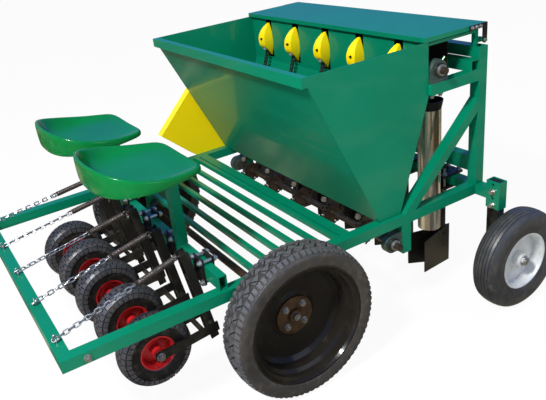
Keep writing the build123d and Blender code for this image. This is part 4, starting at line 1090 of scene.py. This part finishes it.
def roller(radius, half, start_x, sides=8):
    verts = []
    for y in (-half, half):
        for k in range(sides):
            angle = 2 * math.pi * k / sides
            verts.append(((start_x + radius * math.cos(angle)) * MM, y * MM, radius * math.sin(angle) * MM))
    faces = [tuple(range(sides)), tuple(range(sides, 2 * sides))[::-1]]
    faces += [(k, k + sides, (k + 1) % sides + sides, (k + 1) % sides) for k in range(sides)]
    return verts, faces


def joined_solids(parts):
    verts, faces = [], []
    for new_verts, new_faces in parts:
        faces += [tuple(index + len(verts) for index in face) for face in new_faces]
        verts += new_verts
    return outward(mesh_from(verts, faces))


LINK = 15.875  # the pitch of the roller chain
pair = [roller(4.6, 7.6, 0.0), roller(4.6, 7.6, LINK)]
for side in (-1, 1):
    pair.append(link_plate(LINK, 9.6, side * 8.2, 1.2, LINK / 2))
    pair.append(link_plate(LINK, 9.6, side * 6.6, 1.2, LINK * 1.5))
link_pair = joined_solids(pair)
elevator_meshes = [follow([loop_line(y) for y in ELEVATOR_YS], link_pair, 2 * LINK * MM, chain_steel, True)]
settle("elevator_chains", elevator_meshes, "frame", "chain_steel", replaces=("cup_chains",))


# %% The cups
def cup_mesh(sides=14, radius=11.0, depth=20.0, wall=1.4):
    """An open cup that looks along X, with a rolled rim and a round bottom."""
    rings = [
        (0.0, 0.0), (0.6, radius * 0.62), (3.0, radius * 0.93), (7.0, radius), (depth - 1.2, radius),
        (depth - 0.4, radius + 0.5), (depth, radius), (depth - 0.4, radius - wall), (7.5, radius - wall),
        (4.0, radius * 0.7), (2.0, radius * 0.45), (1.6, 0.0),
    ]
    verts, faces = [], []
    for x, r in rings:
        for k in range(sides):
            angle = 2 * math.pi * k / sides
            verts.append(((x - depth / 2) * MM, r * math.cos(angle) * MM, r * math.sin(angle) * MM))
    for ring in range(len(rings) - 1):
        for k in range(sides):
            a, b = ring * sides + k, ring * sides + (k + 1) % sides
            faces.append((a, b, b + sides, a + sides))
    mesh = mesh_from(verts, faces)
    shape = bmesh.new()
    shape.from_mesh(mesh)
    bmesh.ops.remove_doubles(shape, verts=shape.verts, dist=1e-6)
    bmesh.ops.recalc_face_normals(shape, faces=shape.faces)
    shape.to_mesh(mesh)
    shape.free()
    return mesh


CUPS_EACH_RUN = 6
CUP_OUTSET = 59.0  # from the loop's middle to a cup's middle
cup_tree = Tree("cups on marked points", Scale=1.0)
cup_tree.group.interface.new_socket("Piece", in_out="INPUT", socket_type="NodeSocketObject")
cup_info = cup_tree.node(
    "GeometryNodeObjectInfo", {"transform_space": "ORIGINAL"}, Object=cup_tree.entry.outputs["Piece"],
)
cup_way = cup_tree.node("GeometryNodeInputNamedAttribute", {"data_type": "FLOAT_VECTOR"}, Name="way")
cup_turn = cup_tree.node("FunctionNodeAlignRotationToVector", {"axis": "X"}, Vector=cup_way.outputs[0])
cup_copies = cup_tree.node(
    "GeometryNodeInstanceOnPoints", Points=cup_tree.size("Geometry"), Instance=cup_info.outputs["Geometry"],
    Rotation=cup_turn.outputs[0],
)
cup_tree.plug(cup_copies.inputs["Scale"], cup_tree.size("Scale"))
cup_tree.close(cup_copies.outputs[0])
cup_places = []
for y in ELEVATOR_YS:
    for sign in (1, -1):
        for number in range(CUPS_EACH_RUN):
            share = (number + 0.5) / CUPS_EACH_RUN
            x = TAIL_SHAFT[0] + span_x * share + run_out[0] * sign * CUP_OUTSET
            z = TAIL_SHAFT[1] + span_z * share + run_out[1] * sign * CUP_OUTSET
            cup_places.append((spot(x, y, z), (run_way[0] * sign, 0, run_way[1] * sign)))
cup_template = bpy.data.objects.new("cup template", cup_mesh())
bpy.context.scene.collection.objects.link(cup_template)
cups = grow(cup_tree, marked_points(cup_places), zinc, Piece=cup_template)
bpy.data.objects.remove(cup_template)
settle("elevator_cups", [cups], "frame", "zinc", crease=40.0)


# %% Sprocket teeth
# The shaft's plain discs get a ring of teeth that reach up between the chain's rollers.
TEETH = 17


def tooth(half=2.6):
    outline = [(-4.2, 36.5), (-2.0, 41.0), (2.0, 41.0), (4.2, 36.5)]
    verts = [(x * MM, y * MM, z * MM) for y in (-half, half) for x, z in outline]
    return mesh_from(verts, [(0, 1, 2, 3), (7, 6, 5, 4), (0, 4, 5, 1), (1, 5, 6, 2), (2, 6, 7, 3), (3, 7, 4, 0)])


tooth_meshes = []
for y in ELEVATOR_YS:
    for x, z in (HEAD_SHAFT, TAIL_SHAFT):
        tooth_meshes.append(grow(round_tree, tooth(), chain_steel, Count=TEETH, Centre=tuple(spot(x, y, z))))
settle("sprocket_teeth", tooth_meshes, "frame", "chain_steel", crease=20.0)

# %% [markdown]
# ## Moulded seats
# A tractor pan seat is one thick moulding: a shallow dish, a rim that climbs towards the back, and a deep
# skirt that is rolled over the rim and gets lower at the front. Its outline is a smooth closed line through
# a few corner points, and rings of points between the middle and that line carry the heights.

# %% The seat's outline and its rings
SEAT_SKETCH = [
    (-176, 0), (-170, 82), (-146, 150), (-98, 196), (-26, 216), (58, 205), (124, 186), (156, 166), (171, 128),
    (174, 62),
]


def smooth_loop(points, count):
    """Catmull-Rom points along a closed line."""
    total = len(points)
    made = []
    for step in range(count):
        place = step / count * total
        index, share = int(place), place - int(place)
        p0, p1, p2, p3 = (np.array(points[(index + shift) % total], float) for shift in (-1, 0, 1, 2))
        made.append(0.5 * (
            2 * p1 + (p2 - p0) * share + (2 * p0 - 5 * p1 + 4 * p2 - p3) * share ** 2
            + (3 * p1 - p0 - 3 * p2 + p3) * share ** 3
        ))
    return made


PAN = 30  # the height of the dish's floor above the seat's base
SHELL = 8  # how thick the moulding is
SEAT_LIFT = 12  # the height of the plate under each seat
SEAT_STEPS = 72


def seat_mesh(centre_x, centre_y, base_z):
    outline = SEAT_SKETCH + [(174, 0)] + [(x, -y) for x, y in reversed(SEAT_SKETCH[1:])]
    loop = smooth_loop(outline, SEAT_STEPS)
    middle = np.array((14.0, 0.0))
    rings = []

    def climb(x):
        return min(1.0, max(0.0, (172 - x) / 344))

    def crest(x, y):
        """The height of the rim: a high back, low sides and corners that lift a little at the front."""
        return 38 + 76 * climb(x) ** 2.0 + 10 * (y / 200) ** 2 * (1 - climb(x))

    def skirt(x):
        """The height of the skirt's lower edge, which climbs to a thin lip at the front."""
        return 23 + 3 * (1 - climb(x))

    def ring(share, height):
        rings.append([(*(middle + (point - middle) * share), height(point[0], point[1])) for point in loop])

    # Each pair below is the share of the way to the outline, and how far the ring lies up or down its slope.
    dish = (
        (0.16, 0.0), (0.34, 0.0), (0.5, 0.02), (0.62, 0.06), (0.72, 0.15), (0.8, 0.31), (0.865, 0.56),
        (0.915, 0.86),
    )
    for share, lift in dish:
        ring(share, lambda x, y, lift=lift: PAN + (crest(x, y) - PAN) * lift)
    for share, drop in ((0.945, 0.0), (0.97, 0.04), (0.988, 0.18), (1.0, 0.45)):
        ring(share, lambda x, y, drop=drop: crest(x, y) - min(12.0, crest(x, y) - skirt(x)) * drop)
    for share, lift in ((1.002, 0.62), (0.998, 0.3), (0.99, 0.08), (0.978, 0.0), (0.965, 0.04), (0.958, 0.4)):
        ring(share, lambda x, y, lift=lift: skirt(x) + (crest(x, y) - skirt(x) - SHELL) * lift)
    for share, lift in ((0.93, 0.78), (0.84, 0.37), (0.66, 0.08), (0.4, 0.0)):
        ring(share, lambda x, y, lift=lift: PAN - SHELL + (crest(x, y) - PAN) * lift)
    count = len(loop)
    verts = [spot(centre_x + x, centre_y + y, base_z + z) for one in rings for x, y, z in one]
    top = len(verts)
    verts.append(spot(centre_x + middle[0], centre_y, base_z + PAN))
    verts.append(spot(centre_x + middle[0], centre_y, base_z + PAN - SHELL))
    faces = []
    for index in range(len(rings) - 1):
        for step in range(count):
            a, b = index * count + step, index * count + (step + 1) % count
            faces.append((a, b, b + count, a + count))
    last = (len(rings) - 1) * count
    for step in range(count):
        faces.append((step, top, (step + 1) % count))
        faces.append((last + step, last + (step + 1) % count, top + 1))
    mesh = mesh_from(verts, faces)
    shape = bmesh.new()
    shape.from_mesh(mesh)
    bmesh.ops.recalc_face_normals(shape, faces=shape.faces)
    axes = {"use_axis_x": True, "use_axis_y": True, "use_axis_z": True}
    bmesh.ops.smooth_vert(shape, verts=shape.verts, factor=0.3, **axes)
    shape.to_mesh(mesh)
    shape.free()
    return mesh


SEAT_X, SEAT_Y = 438, 250
SEAT_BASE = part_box("seats")[0].z / MM
pans = [seat_mesh(SEAT_X, side * SEAT_Y, SEAT_BASE + SEAT_LIFT) for side in (-1, 1)]
seats = settle("moulded_seats", pans, "frame", "seat_green", ("seats",), 60.0)
rounding = seats.modifiers.new("rounding", "SUBSURF")
rounding.levels = rounding.render_levels = 1


# %% Plates between the seats and their posts
def slab(low, high, edge=1.0):
    """A plate between two corners in mm, with a small bevel on every edge."""
    shape = bmesh.new()
    bmesh.ops.create_cube(shape, size=1.0)
    low, high = spot(*low), spot(*high)
    middle, size = (low + high) / 2, high - low
    for vert in shape.verts:
        vert.co = Vector(vert.co[i] * size[i] + middle[i] for i in range(3))
    bmesh.ops.bevel(shape, geom=shape.edges, offset=edge * MM, segments=2, affect="EDGES", profile=0.6)
    mesh = bpy.data.meshes.new("slab")
    shape.to_mesh(mesh)
    shape.free()
    return mesh


PLATE_TOP = SEAT_BASE + SEAT_LIFT + PAN - SHELL - 0.5
plates = []
for side in (-1, 1):
    plates.append(slab((480, side * 262 - 55, SEAT_BASE), (586, side * 262 + 45, PLATE_TOP)))
settle("seat_plates", plates, "frame", "green_paint")

# %% [markdown]
# ## Hubs, nuts and bolts
# The bolts are what shows that a frame is screwed together. Every group below names the face that its
# heads sit on, and the bolt tree does the rest.

# %% Bolts and nuts of the wheels
HUB_CIRCLE = 48
hub_bolts = []
for side in (-1, 1):
    for quarter in range(4):
        angle = math.radians(45 + 90 * quarter)
        x, z = DRIVE_X + HUB_CIRCLE * math.cos(angle), DRIVE_Z + HUB_CIRCLE * math.sin(angle)
        hub_bolts.append((spot(x, side * 618, z), (0, side, 0)))
drive_nuts = [(spot(DRIVE_X, side * 626, DRIVE_Z), (0, side, 0)) for side in (-1, 1)]
settle(
    "drive_wheel_bolts",
    [bolts(hub_bolts, 10.5, 7, 12.5, 5, 4), bolts(drive_nuts, 13, 8, 17, 7.5, 4)],
    "drive_wheels", "zinc",
)
fork_nuts = []
for y in PRESS_YS:
    for side in (-1, 1):
        fork_nuts.append((spot(PRESS_X, y + side * 58.3, PRESS_Z), (0, side, 0)))
settle("fork_nuts", [bolts(fork_nuts, 12.5, 8, 15.5, 8.2, 4)], "frame", "zinc")
for name, side in SIDES.items():
    nut = [(spot(GAUGE_X, side * 806, GAUGE_Z), (0, side, 0))]
    settle("gauge_nut_" + name, [bolts(nut, 17, 8, 20, 9, 2)], "frame", "zinc")


# %% Round ends of the fork arms
def disc(centre, radius, thickness, sides=28, edge=0.8):
    """A flat round boss with bevelled rims, its axis along Y."""
    half = thickness / 2
    ring = [
        (0.02, -half), (radius - edge, -half), (radius, -half + edge), (radius, half - edge),
        (radius - edge, half), (0.02, half),
    ]
    return turned_mesh(ring, centre, sides)


arm_ends = []
for y in PRESS_YS:
    for side in (-1, 1):
        arm_ends.append(disc(spot(PRESS_X, y + side * 55, PRESS_Z), 18.5, 6.4))
settle("fork_arm_ends", arm_ends, "frame", "black_paint")


# %% Clamp studs of the press toolbar and of the openers
def stud_mesh(pairs, radius):
    return wire_mesh([[start, end] for start, end in pairs], radius * MM, 10)


clamp_nuts, clamp_studs = [], []
for y in PRESS_YS:
    for dy in (-28, 28):
        for z in (433, 507):
            clamp_nuts.append((spot(517.8, y + dy, z), (-1, 0, 0)))
            clamp_nuts.append((spot(564.2, y + dy, z), (1, 0, 0)))
            clamp_studs.append((spot(504, y + dy, z), spot(578, y + dy, z)))
clamp_meshes = [bolts(clamp_nuts, 9.5, 8, 11.5, 5.3, 4, seed=5), stud_mesh(clamp_studs, 5.4)]
settle("toolbar_clamp_bolts", clamp_meshes, "frame", "zinc")
opener_nuts, opener_studs = [], []
for y in ELEVATOR_YS:
    for x in (1628, 1708):
        for dy in (-28, 28):
            opener_nuts.append((spot(x, y + dy, 455.2), (0, 0, 1)))
            opener_nuts.append((spot(x, y + dy, 394.8), (0, 0, -1)))
            opener_studs.append((spot(x, y + dy, 378), spot(x, y + dy, 484)))
opener_meshes = [bolts(opener_nuts, 9.5, 8, 11.5, 5.3, 4, seed=8), stud_mesh(opener_studs, 5.3)]
settle("opener_clamp_bolts", opener_meshes, "frame", "zinc")

# %% Bolts of the sleeves, rails, hangers, bearings, guard, hoods and lid arms
GUARD_SCREWS = (
    (1062, 452), (1200, 452), (1515, 930), (1500, 985), (1420, 985), (1080, 745), (905, 600), (960, 640),
)
frame_bolts, small_bolts, dark_bolts = [], [], []
for side in (-1, 1):
    for z in (388, 444):
        frame_bolts.append((spot(1651.8, side * 667, z), (-1, 0, 0)))
        frame_bolts.append((spot(1692.2, side * 667, z), (1, 0, 0)))
    frame_bolts.append((spot(78, side * rail_high.y / MM, 424), (0, side, 0)))
    for x in (738, 782):
        for z in (262, 312):
            frame_bolts.append((spot(x, side * 561.2, z), (0, side, 0)))
    for x in (1446, 1486):
        frame_bolts.append((spot(x, side * 561, 856.8), (0, 0, -1)))
for x, z in GUARD_SCREWS:
    small_bolts.append((spot(x, 625.2, z), (0, 1, 0)))
for y in ELEVATOR_YS:
    dark_bolts.append((spot(1378.4, y - 3, 957), (-1, 0, 0.16)))
settle("frame_bolts", [bolts(frame_bolts, 10, 8, 12, 7, 6)], "frame", "zinc")
settle("guard_screws", [bolts(small_bolts, 5, 3.4, 6.5, 2.4, 0.8, seed=11)], "frame", "zinc")
settle("hood_screws", [bolts(dark_bolts, 5.5, 4, 7.5, 3, 5, seed=12)], "frame", "black_paint")
lid_bolts = []
for side in (-1, 1):
    for x in (1624, 1644, 1664):
        lid_bolts.append((spot(x, side * 574.1, 1049.8), (0, side, 0)))
    lid_bolts.append((spot(1690, side * 574.1, 995.8), (0, side, 0)))
settle("lid_arm_bolts", [bolts(lid_bolts, 5.5, 4, 7.0, 3, 1.5, seed=14)], "lid", "zinc")

# %% [markdown]
# ## Chain hoods
# A yellow hood keeps the cloves off each chain where it runs through the hopper's wall. It is one folded
# sheet: a narrow round back and two flat sides, cut away at the bottom so that the chain can come out. A
# grid of points, one row for each height, gives the sheet, and a wall thickness makes it solid.

# %% The hood's rows
hood_low, hood_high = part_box("chain_hoods")
HOOD_PLANE = (hood_high.x - REAR_X) / MM
HOOD_MIDDLE = (hood_low.z + hood_high.z) / 2 / MM
HOOD_RISE = (hood_high.z - hood_low.z) / 2 / MM
HOOD_OUT = 47.0
HOOD_APEX = HOOD_MIDDLE - 24.0
HOOD_ROWS = 20
hood_radius = (HOOD_RISE ** 2 + HOOD_OUT ** 2) / (2 * HOOD_OUT)


def hood_out(z):
    """How far the back stands off the wall: an arc above the cut, a straight line below it."""
    if z < HOOD_APEX:
        return hood_out(HOOD_APEX) * (z - HOOD_MIDDLE + HOOD_RISE) / (HOOD_APEX - HOOD_MIDDLE + HOOD_RISE)
    return math.sqrt(hood_radius ** 2 - (z - HOOD_MIDDLE) ** 2) - hood_radius + HOOD_OUT


def hood_mesh(y):
    shape = bmesh.new()
    rows = []
    for step in range(HOOD_ROWS + 1):
        z = HOOD_MIDDLE + HOOD_RISE * (1 - 2 * step / HOOD_ROWS)
        half = 7 + 18 * (1 - ((z - HOOD_MIDDLE) / HOOD_RISE) ** 2)
        out = max(0.3, hood_out(z))
        cut = min(max(0.3, (HOOD_APEX - z) * 0.75), half - 1.2)
        columns = ((0, -half), (out, -half), (out, -cut), (out, cut), (out, half), (0, half))
        rows.append([shape.verts.new(spot(HOOD_PLANE - 0.2 - off, y + across, z)) for off, across in columns])
    for step in range(HOOD_ROWS):
        low_z = HOOD_MIDDLE + HOOD_RISE * (1 - 2 * (step + 1) / HOOD_ROWS)
        for column in range(5):
            if column != 2 or low_z >= HOOD_APEX - 0.1:
                above, below = rows[step], rows[step + 1]
                shape.faces.new((above[column], above[column + 1], below[column + 1], below[column]))
    bmesh.ops.recalc_face_normals(shape, faces=shape.faces)
    bmesh.ops.solidify(shape, geom=shape.faces[:], thickness=1.6 * MM)
    bmesh.ops.recalc_face_normals(shape, faces=shape.faces)
    mesh = bpy.data.meshes.new("hood")
    shape.to_mesh(mesh)
    shape.free()
    return mesh


settle("hood_leaves", [hood_mesh(y) for y in ELEVATOR_YS], "frame", "yellow_paint", ("chain_hoods",), 32.0)

# %% [markdown]
# ## Sheets that close the machine
# The guard of the drive chain has a flat inner sheet, and the rolled lip of the hopper is closed at its
# ends. A black sheet behind the elevator heads, with a return at its left end, is painted shade: it darkens
# the view through the hopper's slots, where the space under the lid lies in shade.


# %% Flat sheets from an outline
def sheet_mesh(outline, y_low, y_high):
    """A plate across Y, from its outline of forward and upward places in mm."""
    count = len(outline)
    verts = [spot(x, y, z) for y in (y_low, y_high) for x, z in outline]
    faces = [tuple(range(count)), tuple(range(count, 2 * count))[::-1]]
    faces += [(k, (k + 1) % count, (k + 1) % count + count, k + count) for k in range(count)]
    return outward(mesh_from(verts, faces))


GUARD_OUTLINE = [
    (868, 586), (1037, 437.5), (1209, 437.5), (1528.5, 905.5), (1528.5, 998.5), (1411, 998.5), (1047, 764.5),
]
settle("guard_sheet", [sheet_mesh(GUARD_OUTLINE, 581.3, 583.2)], "frame", "yellow_paint")
hopper_low, hopper_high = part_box("hopper")
lip_x, lip_top, lip_depth = (hopper_low.x - REAR_X) / MM, hopper_high.z / MM, 34
LIP_END = [
    (lip_x + 1, lip_top - 1), (lip_x + 1, lip_top - lip_depth), (lip_x + 19, lip_top - lip_depth),
    (lip_x + 8, lip_top - 1),
]
lip_ends = [sheet_mesh(LIP_END, side * 564.8, side * 562) for side in (-1, 1)]
settle("lip_ends", lip_ends, "frame", "green_paint")
# A black sheet put where there is only shade: painted shade seen through the hopper's slots.
PAINTED_SHADE_SHEETS = (
    ((1546, -536, 866), (1548, 536, 1016)), ((1546, -380, 790), (1548, 536, 866)),
    ((1430, 534, 790), (1546, 536, 1016)),
)
painted_shade_sheets = [slab(near, far, 0.5) for near, far in PAINTED_SHADE_SHEETS]
settle("fall_sheet", painted_shade_sheets, "frame", "black_paint")

# %% [markdown]
# ## Bearing details
# Each bearing has a black seal round its shaft and a bright collar that locks it, and the upper ones carry
# a grease nipple with a pale green cap.

# %% Seals, collars and grease caps
SEAL = [(12.8, -1.2), (25.0, -1.2), (25.0, 0.6), (23.5, 1.2), (12.8, 1.2)]
COLLAR = [(12.8, -5.0), (18.4, -5.0), (19.6, -3.8), (19.6, 3.8), (18.4, 5.0), (12.8, 5.0)]
seals, collars = [], []
for side in (-1, 1):
    for x, z in (HEAD_SHAFT, TAIL_SHAFT):
        seals.append(turned_mesh(SEAL, spot(x, side * 580.6, z), 32))
        collars.append(turned_mesh(COLLAR, spot(x, side * 586.5, z), 32))
settle("bearing_seals", seals, "frame", "black_paint")
settle("shaft_collars", collars, "frame", "zinc")
pale_cap = moulded("pale green cap", rgb(120, 214, 130), rgb(104, 196, 116))
nipples = [[spot(1486, side * 568, 966), spot(1496, side * 570, 979)] for side in (-1, 1)]
caps = wire_mesh(nipples, 3.0 * MM, 10)
settle("grease_caps", [caps], "frame", "seat_green", finish=pale_cap)

# %% [markdown]
# ## Gauge legs inside their sleeves
# In the photograph the legs end inside the sleeves, so each leg is replaced by a copy that is cut a little
# below the sleeve's top.

# %% The cut legs
sleeve_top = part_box("gauge_sleeves")[1].z


def legs_below(height):
    """The legs' own mesh, cut off at a height and closed again."""
    mesh = nodes["gauge_legs"].data.copy()
    shape = bmesh.new()
    shape.from_mesh(mesh)
    bmesh.ops.remove_doubles(shape, verts=shape.verts, dist=0.00001)
    cut = bmesh.ops.bisect_plane(
        shape, geom=shape.verts[:] + shape.edges[:] + shape.faces[:], plane_co=(0, 0, height),
        plane_no=(0, 0, 1), clear_outer=True,
    )
    rim = [piece for piece in cut["geom_cut"] if isinstance(piece, bmesh.types.BMEdge)]
    bmesh.ops.edgeloop_fill(shape, edges=rim)
    bmesh.ops.recalc_face_normals(shape, faces=shape.faces)
    shape.to_mesh(mesh)
    shape.free()
    mesh.materials.clear()
    return mesh


settle("gauge_leg_bars", [legs_below(sleeve_top - 4 * MM)], "frame", "black_paint", ("gauge_legs",))

# %% Plates on the open ends of the upper rails
rail_ends = []
for side in (-1, 1):
    rail_ends.append(slab((1424.6, side * 561 - 19, 858), (1426.2, side * 561 + 19, 896), 0.4))
settle("rail_end_plates", rail_ends, "frame", "green_paint")
